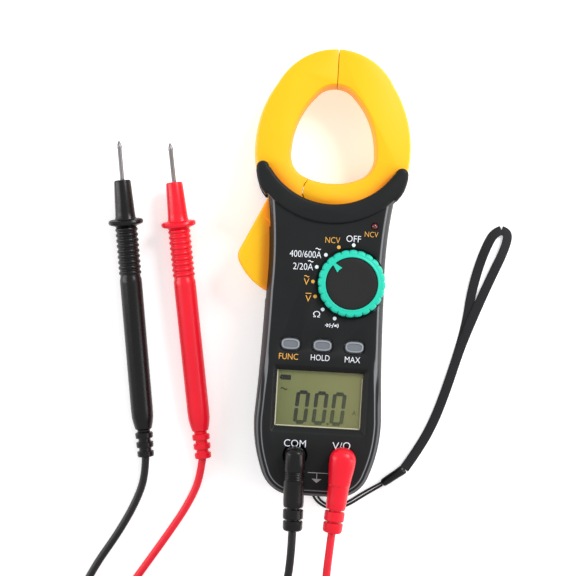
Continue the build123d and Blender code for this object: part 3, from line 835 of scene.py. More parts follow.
CAD_FINISHES = {
    "case_black": CASE, "steel": STEEL, "clear_plastic": CLEAR, "lcd_glass": LCD,
    "white_plastic": WHITE_PLASTIC, "elastomer": ELASTOMER, "circuit_board": board_paint(),
    "chip_epoxy": EPOXY, "brass": BRASS, "battery_wrap": battery_paint(), "red_lens": LED_RED,
    "jaw_yellow": YELLOW, "core_iron": IRON, "copper_wire": wound_paint(), "knob_teal": TEAL,
    "knob_black": KNOB_BLACK, "button_grey": BUTTON_GREY, "lead_black": BLACK_BOOT,
    "lead_red": RED_BOOT, "nickel": NICKEL, "strap_nylon": WEBBING,
}
BOOTS = {"black": BLACK_BOOT, "red": RED_BOOT}
CORDS = {"black": BLACK_CORD, "red": RED_CORD}


def paint_cad_nodes():
    """Every node's own mesh gets the finish that its slot names."""
    for row in frame["record"]["subparts"]:
        mesh = nodes[row["node"]].data
        mesh.materials.clear()
        mesh.materials.append(CAD_FINISHES[row["material_slot"]])


# ---- leads and strap ----------------------------------------------------------------------------
def axes_at(first, second, third, origin):
    """From a piece's own X, Y and Z to where they point on the meter."""
    turn = Matrix((first, second, third)).transposed()
    return Matrix.Translation(Vector(origin) * MM) @ turn.to_4x4()


def plug_matrix(colour):
    """From the plug's own axes (+Z out of its relief, +X up) to its place on the meter."""
    turn = math.radians(PLUG_TURN[colour])
    aim = Vector((math.sin(turn), -math.cos(turn), 0.0))
    return axes_at(UP, aim.cross(UP), aim, (JACKS[colour], JACK_Y, PLUG_AXIS_Z))


def boot_section(along, half_width, low, high, power):
    """One cross-section of a plug's boot, rounder or boxier with its power."""
    middle, half_height = (low + high) / 2, (high - low) / 2
    ring = []
    for n in range(40):
        t = TAU * n / 40
        c, s = math.cos(t), math.sin(t)
        reach = (abs(c) ** power + abs(s) ** power) ** (-1 / power)
        ring.append((middle + half_height * c * reach, half_width * s * reach, along))
    return ring


def boot_rows(tip, half, long_nose, rows):
    """A boot's sections from its tip: eleven that make a rounded nose, then the rows given."""
    nose = []
    for step in range(11):
        t = math.radians(step * 9)
        size = math.sin(t) ** 0.85 if step else 0.12
        along = tip + long_nose * (1 - math.cos(t))
        nose.append((along, half * size, -6.2 + 1.4 * (1 - size), 1.6 + 4.3 * size, 2.6))
    return nose + rows


def black_boot_rows():
    """A slim head, fine rings round its neck, then the barrel.

    Each row is (place along the boot, half width, lowest, highest, boxiness).
    """
    rows = [(3.0, 4.5, -6.2, 5.8, 3.0), (5.6, 4.5, -6.0, 5.5, 2.8)]
    for n in range(6):
        start = 6.2 + n * 0.72
        rows += [(start, 4.5, -5.7, 5.3, 2.6), (start + 0.14, 4.3, -5.5, 5.0, 2.6)]
        rows += [(start + 0.36, 4.3, -5.5, 5.0, 2.6), (start + 0.5, 4.5, -5.6, 5.2, 2.6)]
    rows += [(10.6, 4.5, -5.1, 5.1, 2.2), (10.9, 4.65, -4.9, 4.95, 2.1), (12.0, 4.6, -4.75, 4.8, 2.0)]
    rows += [(19.5, 4.55, -4.6, 4.6, 2.0), (21.4, 4.5, -4.5, 4.5, 2.0), (22.2, 4.2, -4.2, 4.2, 2.0)]
    return boot_rows(-4.3, 4.5, 3.0, rows)


def red_boot_rows():
    """A wide, drop-shaped head that narrows into the barrel."""
    rows = [(2.5, 5.8, -6.2, 5.8, 2.6), (5.0, 5.55, -6.0, 5.6, 2.5), (8.0, 5.15, -5.6, 5.35, 2.4)]
    rows += [(11.2, 4.85, -5.2, 5.15, 2.2), (11.6, 4.7, -5.0, 4.85, 2.1), (12.4, 4.65, -4.8, 4.7, 2.0)]
    rows += [(18.5, 4.55, -4.6, 4.6, 2.0), (21.4, 4.4, -4.4, 4.45, 2.0), (22.2, 4.1, -4.1, 4.1, 2.0)]
    return boot_rows(-5.1, 5.85, 5.2, rows)


BOOT_ROWS = {"black": black_boot_rows(), "red": red_boot_rows()}
PLUG_RELIEF = [
    (22.35, 2.7), (23.15, 2.7), (23.2, 4.25), (23.5, 4.5), (27.0, 4.5), (27.35, 4.2),
    (27.4, 2.7), (28.15, 2.7), (28.2, 4.15), (28.5, 4.4), (31.6, 4.35), (32.3, 4.0),
    (32.7, 3.3), (32.7, 1.9),
]
PLUG_SHROUD = [(12.0, 4.5), (12.4, 4.9), (28.4, 4.9), (29.4, 4.5), (31.0, 3.6), (33.0, 3.2)]


def plug_boot(colour):
    """The moulded right-angle boot: rounded head, barrel, slotted relief and the pin's shroud."""
    rings = [boot_section(*row) for row in BOOT_ROWS[colour]]
    for along, radius in PLUG_RELIEF:
        rings.append(boot_section(along, radius, -radius, radius, 2.0))
    boot = placed(outward(lofted(f"{colour}_plug_boot", rings)), plug_matrix(colour))
    x = JACKS[colour]
    shroud = turned(f"{colour}_plug_shroud", PLUG_SHROUD)
    placed(shroud, Matrix.Translation((x * MM, JACK_Y * MM, 0)))
    boot = fused(boot, shroud)
    boot = cut(boot, prism("hole", circle(x, JACK_Y, 3.5), 10.0, 28.0))
    body = f"{colour}_plug"
    finished(boot, body, BOOTS[colour], f"lead_{colour}", f"{colour}_plug_body", crease=28)


def probe_matrix(colour):
    """From the probe's own axes (origin at its point, +Z to its cord) to where it lies.

    It rests on the finger guard and on the far end of its barrel.
    """
    turn = math.radians(PROBE_TURN[colour])
    fall = math.asin((GUARD_R - BARREL_R) / (BARREL_END - GUARD_ALONG))
    level = math.cos(fall)
    aim = Vector((math.sin(turn) * level, -math.cos(turn) * level, -math.sin(fall)))
    side = aim.cross(UP).normalized()
    up = side.cross(aim).normalized()
    tip_z = GUARD_R + GUARD_ALONG * math.sin(fall) + 0.05
    return axes_at(side, up, aim, (*PROBE_TIPS[colour], tip_z))


def handle_profile():
    """(along, radius): collar, finger guard, nine beads, barrel and its rounded end."""
    handle = [(18.3, 1.2), (18.3, 3.4), (18.6, 3.75), (19.4, 3.9), (27.0, 4.25), (33.0, 4.5)]
    handle += [(35.6, 4.7), (36.0, 5.0)]
    handle += [(36.3, 7.0), (36.7, 7.8), (37.6, 8.1), (38.5, 7.8), (38.9, 7.0), (39.3, 5.3)]
    for n in range(9):
        low = 40.2 + n * 2.5
        handle += [(low, 4.65), (low + 0.25, 4.95), (low + 0.7, 5.2), (low + 1.2, 5.2)]
        handle += [(low + 1.65, 4.95), (low + 1.9, 4.65)]
    handle += [(63.2, 4.7), (64.2, 5.05), (66.0, 5.1), (100.0, 5.1), (124.0, 5.1), (128.2, 5.0)]
    return handle + [(131.0, 4.55), (133.8, 3.85), (134.3, 3.3)]


def relief_profile():
    """(along, radius): three rings on a thin sleeve."""
    relief = [(132.0, 2.0), (133.0, 3.0), (135.5, 2.95)]
    for n in range(3):
        low = 135.6 + 4.3 * n
        size = 4.1 - 0.12 * n
        relief += [(low, 2.9), (low + 0.1, size - 0.25), (low + 0.4, size), (low + 2.3, size - 0.05)]
        relief += [(low + 2.7, size - 0.3), (low + 2.8, 2.8)]
    return relief + [(147.0, 1.9)]


def saddled(grip):
    """The finger guard flattened above and below, and bent towards the cord there."""
    first, last = 34.5, 40.0
    for v in grip.data.vertices:
        along = v.co.z / MM
        if first < along < last:
            wide = math.hypot(v.co.x, v.co.y)
            v.co.y *= 1.0 - 0.16 * (v.co.y / wide) ** 2 * min(1.0, (along - first) / 2)
            v.co.z += 1.1 * MM * (v.co.y / wide) ** 2


def probe(colour):
    """Needle, handle with its finger guard and beads, and slotted relief."""
    lie = probe_matrix(colour)
    needle = [(0.0, 0.12), (0.5, 0.5), (1.6, 0.95), (2.7, 1.2), (3.3, 1.16), (3.6, 1.0), (30.0, 1.0)]
    point = placed(turned(f"{colour}_needle", needle, 20), lie)
    finished(point, "meter", NEEDLE, "steel", f"{colour}_probe_tip")
    grip = turned(f"{colour}_handle", handle_profile(), 48)
    saddled(grip)
    relief = turned(f"{colour}_probe_relief", relief_profile(), 40)
    for piece in (grip, relief):
        placed(piece, lie)
        finished(piece, "meter", BOOTS[colour], f"lead_{colour}", f"{colour}_probe_handle", crease=30)
    return relief


def lead(colour):
    """The cord from plug to probe."""
    cord = tube(f"{colour}_lead", LEAD_LINES[colour], CORD_R)
    mesh = cord.data
    for polygon in mesh.polygons:
        polygon.use_smooth = True
    mesh.materials.append(CORDS[colour])
    parts = ("plug_end", "coil", "probe_end")
    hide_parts(*[f"{colour}_lead_{part}" for part in parts])
    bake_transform(cord)
    return cord


def ribbon(name, line, width, thick, full_roll):
    """Flat webbing along a line in metres, rolled by this many degrees near its far end."""
    half = thick / 2 * MM
    wide = width / 2 * MM
    section = []
    for n in range(-4, 5):
        section.append((wide * n / 4, half * (1.0 - 0.5 * (abs(n) / 4) ** 4)))
    section += [(x, -y) for x, y in reversed(section)]
    rolls_at = 0.66
    points = []
    for n, here in enumerate(line):
        ahead = direction(line, n)
        side = ahead.cross(UP).normalized()
        rise = side.cross(ahead)
        rolled = min(1.0, max(0.0, (n / (len(line) - 1) - rolls_at) / 0.1))
        tilt = math.radians(full_roll * rolled)
        across = side * math.cos(tilt) + rise * math.sin(tilt)
        lift = rise * math.cos(tilt) - side * math.sin(tilt)
        points += [here + across * x + lift * y for x, y in section]
    return swept(name, points, len(line))


def strap_crimp():
    """The moulded sleeve that joins the string to the webbing."""
    low, high = Vector((32.1, -96.3, 2.05)), Vector((42.1, -88.8, 2.05))
    aim = (high - low).normalized()
    side = aim.cross(UP).normalized()
    up = side.cross(aim)
    rings = []
    for along, wide, tall in (
        (0.0, 0.9, 0.9), (0.3, 1.5, 1.5), (1.2, 1.9, 1.8), (3.5, 2.0, 1.95), (8.5, 2.05, 1.95),
        (11.0, 2.2, 1.7), (12.2, 2.1, 1.3), (12.6, 1.6, 0.9),
    ):
        center = low + aim * along
        oval = [(wide * x, tall * y) for x, y in circle(0, 0, 1.0, 28)]
        rings.append([tuple(center + side * x + up * y) for x, y in oval])
    sleeve = outward(lofted("strap_crimp", rings))
    finished(sleeve, "meter", BLACK_BOOT, "strap_nylon", "strap_sleeve", crease=40)


def declared(cord, line, diameter, **facts):
    """The cord's length measured along its own line, and its diameter in metres, worked out and not
    kept.
    """
    round(length_of(line), 3)
    diameter * MM


def both_leads():
    """Plug, probe and cord of the black and the red test lead."""
    for colour in ("black", "red"):
        plug_boot(colour)
        relief = probe(colour)
        declared(
            lead(colour), LEAD_LINES[colour], 2 * CORD_R, far_end="tool", lay="coiled",
            with_pieces=[relief],
        )


def strap():
    """The string's loop, the sleeve on it, and the webbing's two layers."""
    string = tube("strap_string_cord", STRING_LINE, STRING_R, 10)
    finished(string, "meter", WEBBING, "strap_nylon", "strap_string", crease=60)
    strap_crimp()
    pieces = [(string, STRING_LINE, 2 * STRING_R)]
    for layer, roll in (("lower", 14.0), ("upper", -14.0)):
        line = WEBBING_LINES[layer]
        band = ribbon(f"strap_webbing_{layer}", line, WEBBING_WIDTH, WEBBING_THICK, roll)
        finished(band, "meter", WEBBING, "strap_nylon", "strap_webbing", crease=50)
        pieces.append((band, line, WEBBING_WIDTH))
    for piece, line, diameter in pieces:
        declared(piece, line, diameter, far_end="object", lay="loose")


# ---- outlines in plan ---------------------------------------------------------------------------
CASE_SIDE = joined(
    arc((12.3, -101.3), (20.4, -97.3), (24.8, -90.2), 10),
    arc((24.8, -90.2), (28.0, -78.6), (29.0, -66.0), 10),
    arc((29.0, -66.0), (27.8, -42.0), (27.0, -8.0), 14),
    arc((27.0, -8.0), (27.3, 18.0), (29.4, 36.0), 14),
    [(30.4, 42.0)],
)
CASE_OUTLINE = joined(CASE_SIDE, mirrored(CASE_SIDE))
JAW_SIDE = joined(
    [(26.2, 24.0), (26.2, 36.3), (31.0, 36.3), (33.0, 41.0)],
    arc((33.0, 41.0), (35.0, 48.0), (35.7, 56.0), 8),
    arc((35.7, 56.0), (34.0, 70.0), (26.8, 86.0), 12),
    arc((26.8, 86.0), (15.5, 98.2), (0.0, 102.5), 14),
)
JAW_OUTLINE = joined(JAW_SIDE, mirrored(JAW_SIDE))
WINDOW_SIDE = joined(
    arc((0.0, 41.2), (7.5, 42.0), (14.6, 44.8), 8),
    arc((14.6, 44.8), (18.0, 49.2), (18.8, 55.5), 8),
    arc((18.8, 55.5), (15.5, 70.0), (7.8, 81.2), 12),
    arc((7.8, 81.2), (4.2, 83.7), (0.0, 84.5), 6),
)
WINDOW_OUTLINE = joined(WINDOW_SIDE, mirrored(WINDOW_SIDE))
MOVING_SIDE = [
    (0.0, 110.0), (-45.0, 110.0), (-45.0, 32.0), (-13.2, 32.0), (-13.2, 35.8), (-12.4, 39.6),
    (-10.6, 42.5), (0.0, 60.0),
]


def collar_outline():
    """A crescent round the jaws' opening, with a rounded horn at each end."""
    outer_r, outer_y, inner_r = 39.4, 61.3, 33.2
    foot = math.degrees(math.asin(-27.3 / outer_r))
    right = joined(
        circle_run(0, outer_y, outer_r, -90, foot, 20),
        [(29.6, 33.8), (31.5, 36.2), (32.7, 38.4), (33.6, 41.2), (34.2, 44.0)],
        arc((34.2, 45.6), (31.3, 48.85), (28.4, 46.4), 12),
    )
    inner = math.degrees(math.asin((45.6 - RING_Y) / inner_r))
    under = circle_run(0, RING_Y, inner_r, inner, -90, 18)
    half = joined(right, under)
    return joined(half, mirrored(half))


COLLAR_OUTLINE = collar_outline()


# ---- case ---------------------------------------------------------------------------------------
# A profile is a list of (inset from the outline in plan, height).
UPPER_PROFILE = [
    (0.35, PART_Z), (0.05, 15.35), (0.0, 16.5), (0.25, 20.0), (0.9, 24.0), (1.8, 27.0), (2.35, 28.5),
    (2.6, 29.1), (2.85, 29.5), (3.2, 29.78), (3.6, 29.92), (4.1, 29.98), (4.6, 30.0), (5.2, FACE_Z),
]
LOWER_PROFILE = [
    (0.35, PART_Z), (0.05, 15.35), (0.0, 16.5), (0.15, 20.0), (0.45, 24.0), (0.85, 26.8), (1.1, 27.7),
    (1.4, 28.15), (1.9, 28.4), (2.7, 28.55), (3.15, 28.8), (3.45, 29.35), (3.8, 29.85), (4.4, FACE_Z),
]
STEP_STARTS, STEP_FULL = -34.0, -58.0
REAR_PROFILE = [
    (4.6, 0.0), (3.2, 0.12), (2.1, 0.6), (1.2, 1.5), (0.65, 3.0), (0.35, 6.0), (0.1, 10.0),
    (0.0, 13.5), (0.05, 14.65), (0.35, PART_Z),
]


def front_body(name):
    """The front of the case: a round shoulder that gains a step below the keys."""
    rings = []
    for (upper_inset, upper_z), (lower_inset, lower_z) in zip(UPPER_PROFILE, LOWER_PROFILE):
        upper = at_height(inset(CASE_OUTLINE, upper_inset), upper_z)
        lower = at_height(inset(CASE_OUTLINE, lower_inset), lower_z)
        ring = []
        for a, b in zip(upper, lower):
            part = min(1.0, max(0.0, (STEP_STARTS - a[1]) / (STEP_STARTS - STEP_FULL)))
            part = part * part * (3 - 2 * part)
            ring.append(tuple(p + (q - p) * part for p, q in zip(a, b)))
        rings.append(ring)
    return lofted(name, rings)


def moving_room():
    """Where the jaws lie between the collars, the hub's pocket and the trigger's slot."""
    low, high = SLOT_Z
    return [
        prism("jaw_room", rounded_box(0, 76.3, 100, 80, 0.2, 1), low, high),
        prism("middle", rounded_box(0, 30, 53.0, 14.6, 0.2, 1), low, high),
        prism("left", rounded_box(-30, 30, 40, 20.6, 0.2, 1), low, high),
        prism("trigger_room", rounded_box(-29.5, 12.0, 31.0, 50.0, 0.2, 1), 8.6, 21.4),
    ]


def hollowed(body, low, high, floor, roof):
    """The case half with its neck bitten out round the jaws and its inside taken away."""
    body = cut(body, prism("neck", circle(0, RING_Y, NECK_R, 96), low, high))
    return cut(body, prism("hollow", inset(CASE_OUTLINE, HOLLOW_INSET), floor, roof))


def display_opening():
    """The straight window and the bevelled bezel round it."""
    rings = []
    for x, width, depth, radius, z in (
        (-0.2, 38.9, 25.4, 0.6, 20.0), (-0.2, 38.9, 25.4, 0.6, 27.9), (0, 41.9, 29.0, 1.0, 29.5),
        (0, 42.7, 30.4, 1.4, 29.95), (0, 43.3, 31.0, 1.7, 30.05), (0, 43.3, 31.0, 1.7, 31.0),
    ):
        rings.append(at_height(rounded_box(x, DISPLAY_Y, width, depth, radius), z))
    return lofted("bezel", rings)


def front_case():
    """Dial face and collar, with every opening and each eased edge round it."""
    body = hollowed(front_body("front_shell"), 10.0, 40.0, 14.0, FACE_Z - WALL)
    collar = [(0.5, SLOT_Z[1]), (0.0, 24.8), (0.05, 29.6), (0.2, 30.4), (0.5, 31.0), (0.95, 31.38)]
    body = fused(body, profiled("collar", COLLAR_OUTLINE, collar + [(1.5, COLLAR_Z)]))
    for x in JACKS.values():
        body = fused(body, prism("jack_tube", circle(x, JACK_Y, 6.8), 10.0, FACE_Z - 1.0))
    tools = moving_room()
    groove = [(0.0, 29.0), (0.0, 29.6), (-0.25, 29.9), (-0.6, 30.05), (-0.6, 31.0)]
    tools.append(profiled("knob_groove", circle(*KNOB, 15.75, 96), groove))
    tools.append(prism("shaft_hole", circle(*KNOB, 7.2), 20.0, 31.0))
    for x in BUTTONS.values():
        lip = [(0.0, 20.0), (0.0, 29.7), (-0.2, 29.95), (-0.4, 30.05), (-0.4, 31.0)]
        tools.append(profiled("button_hole", pillow(x, BUTTON_Y, 9.4, 6.4), lip))
    tools.append(display_opening())
    tools.append(prism("led_hole", circle(*LAMP, 1.65, 32), 20.0, 31.0))
    for x in JACKS.values():
        lip = [(0.0, 11.5), (0.0, 29.6), (-0.3, 29.95), (-0.45, 30.05), (-0.45, 31.0)]
        tools.append(profiled("jack_well", circle(x, JACK_Y, 5.3), lip))
        tools.append(prism("jack_hole", circle(x, JACK_Y, 3.2, 32), 8.0, 12.0))
    body = cut(body, *tools)
    finished(body, "meter", CASE, "case_black", "front_case", crease=30)


def battery_door_outline(grow=0.0):
    """The battery cover's plate and its screw tab, as one outline."""
    w, top, low = 18.5 + grow, -24.5 + grow, -75.5 - grow
    tab, foot = 6.0 + grow, -85.5 - grow
    r = 2.5
    return joined(
        circle_run(w - r, low + r, r, -90, 0, 4),
        circle_run(w - r, top - r, r, 0, 90, 4),
        circle_run(-w + r, top - r, r, 90, 180, 4),
        circle_run(-w + r, low + r, r, 180, 270, 4),
        [(-tab, low)],
        circle_run(-tab + r, foot + r, r, 180, 270, 4),
        circle_run(tab - r, foot + r, r, 270, 360, 4),
        [(tab, low)],
    )


def rear_case():
    """Back and rear collar, with the battery bay, the screws' wells and the string's eyelet."""
    body = hollowed(profiled("rear_shell", CASE_OUTLINE, REAR_PROFILE), -5.0, 20.0, WALL, 16.0)
    collar = [(1.4, 0.0), (0.8, 0.08), (0.3, 0.4), (0.0, 1.0), (0.0, 5.2), (0.5, SLOT_Z[0])]
    body = fused(body, profiled("rear_collar", COLLAR_OUTLINE, collar))
    for x, y in BOSSES:
        body = fused(body, prism("boss", circle(x, y, 3.4), 1.0, 14.5))
    tools = moving_room()
    well = [(-0.35, -1.0), (-0.35, 0.0), (0.0, 0.4), (0.0, 3.0)]
    for x, y in BOSSES:
        tools.append(prism("shank_hole", circle(x, y, 1.6, 24), -1.0, 16.0))
        tools.append(profiled("head_well", circle(x, y, 2.95, 32), well))
    tools.append(prism("door_gap", battery_door_outline(0.3), -1.0, WALL))
    tools.append(prism("cell_room", rounded_box(0, -50.0, 36.0, 47.0, 0.5), WALL - 1, WALL + 1))
    tools.append(prism("eyelet", rounded_box(1.0, -101.0, 7.0, 7.6, 0.8), -1.0, 5.0))
    body = cut(body, *tools)
    for x in (-19.5, 19.5):
        rail = rounded_box(x, -47.5, 1.4, 45.0, 0.2, 1)
        body = fused(body, prism("rail", rail, WALL - 0.5, WALL + 9.0))
    body = fused(body, prism("string_post", circle(1.0, -100.0, 0.8, 24), 0.0, 6.0))
    land = prism("screw_land", rounded_box(*DOOR_SCREW, 20.0, 7.0, 0.5), WALL, WALL + 3.5)
    body = fused(body, cut(land, prism("bite", circle(*DOOR_SCREW, 1.2, 24), -1.0, 7.0)))
    finished(body, "meter", CASE, "case_black", "rear_case", crease=30)


def battery_cover():
    """The cover with its screw's well and five finger grooves."""
    outline = battery_door_outline()
    door = profiled("battery_door", outline, [(0.35, 0.0), (0.08, 0.12), (0.0, 0.4), (0.0, WALL)])
    well = [(-0.3, -1.0), (-0.3, 0.0), (0.0, 0.3), (0.0, 1.4)]
    tools = [profiled("well", circle(*DOOR_SCREW, 2.75, 32), well)]
    tools.append(prism("shank", circle(*DOOR_SCREW, 1.3, 24), -1.0, 4.0))
    grip = [(0.2, -0.5), (0.2, 0.0), (0.55, 0.45)]
    for n in range(5):
        groove = rounded_box(0, -33.0 - n * 2.4, 15.0 - n * 1.6, 1.1, 0.5)
        tools.append(profiled("grip", groove, grip))
    door = cut(door, *tools)
    finished(door, "meter", CASE, "case_black", "battery_cover", crease=30)


# ---- jaws ---------------------------------------------------------------------------------------
# Drafted to a fine groove at mid-height, where the two shells of a jaw meet.
JAW_PROFILE = [
    (1.9, JAW_Z[0]), (1.35, 6.25), (0.95, 6.9), (0.7, 8.0), (0.35, 11.5), (0.0, 14.8), (0.12, 14.9),
    (0.12, 15.1), (0.0, 15.2), (0.35, 18.5), (0.7, 22.0), (0.95, 23.1), (1.35, 23.75), (1.9, JAW_Z[1]),
]


def jaw_ring(name):
    """Both jaws as one ring, with the window through it and the notch where they meet."""
    ring = profiled(name, JAW_OUTLINE, JAW_PROFILE)
    widening = [(-cut_in, z) for cut_in, z in JAW_PROFILE]
    widening = [(widening[0][0] - 0.4, 5.0), *widening, (widening[-1][0] - 0.4, 25.0)]
    ring = cut(ring, profiled("window", WINDOW_OUTLINE, widening))
    notch = [(-0.35, 101.2), (0.35, 101.2), (1.3, 105.0), (-1.3, 105.0)]
    return cut(ring, prism("notch", notch, 0, 30))


def jaw_finished(jaw, name, body):
    eased(jaw, 0.18, 50)
    shells = (f"{name}_front_shell", f"{name}_rear_shell")
    finished(jaw, body, YELLOW, "jaw_yellow", *shells, crease=30)


def jaws():
    """The ring parted along the moving jaw's side; the moving jaw also gets its hub."""
    seam = prism("seam", inset(MOVING_SIDE, -0.3), 0, 30)
    hub_room = prism("hub_room", circle(*PIVOT, HUB_R + 0.3, 64), 0, 30)
    jaw_finished(cut(jaw_ring("fixed_jaw"), seam, hub_room), "fixed_jaw", "meter")

    moving = kept(jaw_ring("moving_jaw_piece"), prism("seam", MOVING_SIDE, 0, 30))
    rim = [(0.5, 6.4), (0.0, 6.9), (0.0, 23.1), (0.5, 23.6)]
    hub = profiled("hub", circle(*PIVOT, HUB_R, 64), rim)
    hub = kept(hub, prism("hub_side", rounded_box(0, 30, 56.6, 40, 0.2, 1), 0, 30))
    moving = fused(moving, hub)
    moving = cut(moving, prism("pin_hole", circle(*PIVOT, 2.05, 32), 0, 30))
    jaw_finished(moving, "moving_jaw", "moving_jaw")


def trigger():
    """The yellow lever beside the case, cut away where the moving jaw's hub is."""
    nose = joined(
        [(-28.7 - 11.0 * t / 8, 32.6 - 23.2 * t / 8) for t in range(8)],
        arc((-39.7, 9.4), (-40.6, 6.0), (-39.6, 2.6), 8),
        arc((-39.6, 2.6), (-34.9, -3.8), (-27.6, -9.2), 10),
        arc((-27.6, -9.2), (-25.4, -9.3), (-24.0, -7.4), 6),
        [(-24.0 + 1.5 * t / 6, -7.4 + 33.4 * t / 6) for t in range(1, 7)],
    )
    profile = [(1.5, 9.0), (0.9, 9.15), (0.4, 9.6), (0.1, 10.4), (0.0, 12.0), (0.0, 18.0)]
    profile += [(0.1, 19.6), (0.4, 20.4), (0.9, 20.85), (1.5, 21.0)]
    lever = profiled("trigger_lever", nose, profile)
    bite = prism("hub_bite", circle(*PIVOT, HUB_R - 0.02, 64), 0, 30)
    bite = kept(bite, prism("hub_side", rounded_box(0, 30, 56.5, 40, 0.2, 1), -1, 31))
    lever = cut(lever, bite)
    finished(lever, "moving_jaw", YELLOW, "jaw_yellow", "trigger", crease=35)


# ---- knob, buttons, display ---------------------------------------------------------------------
def scalloped(radius, bite):
    """The knob's outline: round, with narrow notches this deep."""
    teeth, per_tooth = 24, 16
    ring = []
    for n in range(teeth * per_tooth):
        t = TAU * n / (teeth * per_tooth)
        lobe = abs(math.cos(teeth * t / 2)) ** 0.45
        r = radius - bite * (1 - lobe)
        ring.append((KNOB[0] + r * math.cos(t), KNOB[1] + r * math.sin(t)))
    return ring


def pointer():
    """The arrow inside the knob's ring, pointing at the setting in use."""
    turn = math.radians(POINTER_TURN)
    right = [(11.9, 0.62), (11.1, 0.68), (8.2, 1.35)]
    left = [(along, -across) for along, across in reversed(right)]
    outline = []
    for along, across in [*right, (8.45, 0.0), *left]:
        x = KNOB[0] + along * math.cos(turn) - across * math.sin(turn)
        y = KNOB[1] + along * math.sin(turn) + across * math.cos(turn)
        outline.append((x, y))
    outline.reverse()
    return outward(profiled("pointer", outline, [(0.0, 33.0), (0.0, 33.85), (0.1, 33.95)]))


def knob():
    """The notched ring with its pointer, and the dished black disc with its shaft."""
    rings = [
        (15.0, 0.6, 29.5), (15.1, 0.6, 30.2), (15.1, 0.65, 32.3), (14.95, 0.85, 33.0),
        (14.6, 1.0, 33.55), (14.2, 0.75, 33.8), (13.6, 0.1, 33.95), (13.0, 0.0, 33.95),
        (12.6, 0.0, 34.0), (12.35, 0.0, 34.17), (12.05, 0.0, 34.2), (11.8, 0.0, 34.05),
        (11.7, 0.0, 33.5), (11.7, 0.0, 29.5),
    ]
    grip = looped("knob_grip", [at_height(scalloped(r, bite), z) for r, bite, z in rings])
    grip = fused(outward(grip), pointer())
    finished(grip, "knob", TEAL, "knob_teal", "knob_ring", crease=34)

    dish = [(0.0, 29.6), (0.0, 33.2), (0.25, 33.45), (0.8, 33.55), (2.2, 33.6), (5.0, 33.5)]
    cap = profiled("knob_disc", circle(*KNOB, 11.66, 96), dish + [(9.0, 33.45)])
    cap = fused(cap, prism("shaft", circle(*KNOB, 7.0), 24.2, 30.0))
    cap = cut(cap, prism("bore", circle(*KNOB, 1.25, 24), 20.0, 29.0))
    finished(cap, "knob", KNOB_BLACK, "knob_black", "knob_cap", crease=34)


def buttons():
    """Three grey keys, each with a raised rim, a hidden flange and a stem."""
    profile = [
        (0.0, 26.5), (0.0, 30.2), (0.12, 30.6), (0.35, 30.88), (0.6, 31.0), (0.8, 30.98),
        (0.95, 30.75), (1.05, 30.6),
    ]
    for name, x in BUTTONS.items():
        key = profiled(f"{name}_key_cap", pillow(x, BUTTON_Y, 8.3, 5.1, 2.8), profile)
        key = fused(key, prism("flange", rounded_box(x, BUTTON_Y, 10.4, 7.2, 2.4), 26.3, 27.5))
        key = fused(key, prism("stem", circle(x, BUTTON_Y, 1.2, 24), 25.5, 26.6))
        finished(key, f"{name}_key", BUTTON_GREY, "button_grey", f"{name}_button", crease=40)


def display():
    """The panel, and cream strips along its glass's left, bottom and right edges, a painted highlight
    where light catches the edge.
    """
    outline = rounded_box(0, DISPLAY_Y, 41.4, 27.4, 0.4)
    panel = profiled("lcd_face", outline, [(0, 24.4), (0, GLASS_Z)])
    finished(panel, "meter", LCD, "lcd_glass", "lcd_panel")
    edges = []
    # Painted highlight: cream strips stand for light caught in the glass's edge, on the lit left and
    # bottom sides and thinly on the right.
    for name, x, y, w, d in (
        ("left", -19.3, DISPLAY_Y, 0.45, 25.0), ("bottom", 0.0, DISPLAY_Y - 12.35, 38.0, 0.45),
        ("right", 18.85, DISPLAY_Y - 1.0, 0.3, 23.0),
    ):
        edges.append(prism(f"edge_{name}", rounded_box(x, y, w, d, 0.15, 2), GLASS_Z, 26.45))
    finished(merged("lcd_edge_painted_highlight", edges), "meter", CREAM, "white_plastic")


def upright_bar(x, low, high, t):
    """An upright segment with half-width t, its corners cut off."""
    c = t * 0.5
    return [
        (x - t, low + c), (x - c, low), (x + c, low), (x + t, low + c),
        (x + t, high - c), (x + c, high), (x - c, high), (x - t, high - c),
    ]


def level_bar(x0, x1, y, t):
    """A level segment with half-width t and pointed ends."""
    a, b = x0 + t * 0.5, x1 - t * 0.5
    return [(x0, y), (a, y - t), (b, y - t), (x1, y), (b, y + t), (a, y + t)]


def digit_bars(x):
    """The six segments of a nought whose left side stands at x."""
    high, low, middle, t, wide = -54.1, -67.6, -61.0, 0.86, 4.45
    bars = [level_bar(x + 0.35, x + wide - 0.35, y, t) for y in (high, low)]
    for side in (x, x + wide):
        bars.append(upright_bar(side, middle + 0.35, high - 0.1, t))
        bars.append(upright_bar(side, low + 0.1, middle - 0.35, t))
    slant = 0.075
    return [[(px + slant * (py - middle), py) for px, py in bar] for bar in bars]


def lcd_marks():
    """Three digits with their point, a battery sign and a wave."""
    outlines = [bar for x in (-9.95, -1.6, 6.5) for bar in digit_bars(x)]
    outlines.append(circle(4.4, -67.8, 0.55, 16))
    outlines.append(rounded_box(-15.6, -47.8, 4.7, 2.3, 0.2, 2))
    outlines.append(rounded_box(-18.1, -47.8, 0.5, 1.1, 0.1, 1))
    wave = [(-17.6 + 3.0 * n / 12, -53.0 + 0.35 * math.sin(TAU * n / 12)) for n in range(13)]
    below = [(x, y - 0.28) for x, y in wave]
    outlines.append(below + [(x, y + 0.28) for x, y in reversed(wave)])
    marks = merged("lcd_marks", [prism("mark", outline, GLASS_Z, SEGMENT_Z) for outline in outlines])
    finished(marks, "meter", SEGMENTS, "lcd_glass")


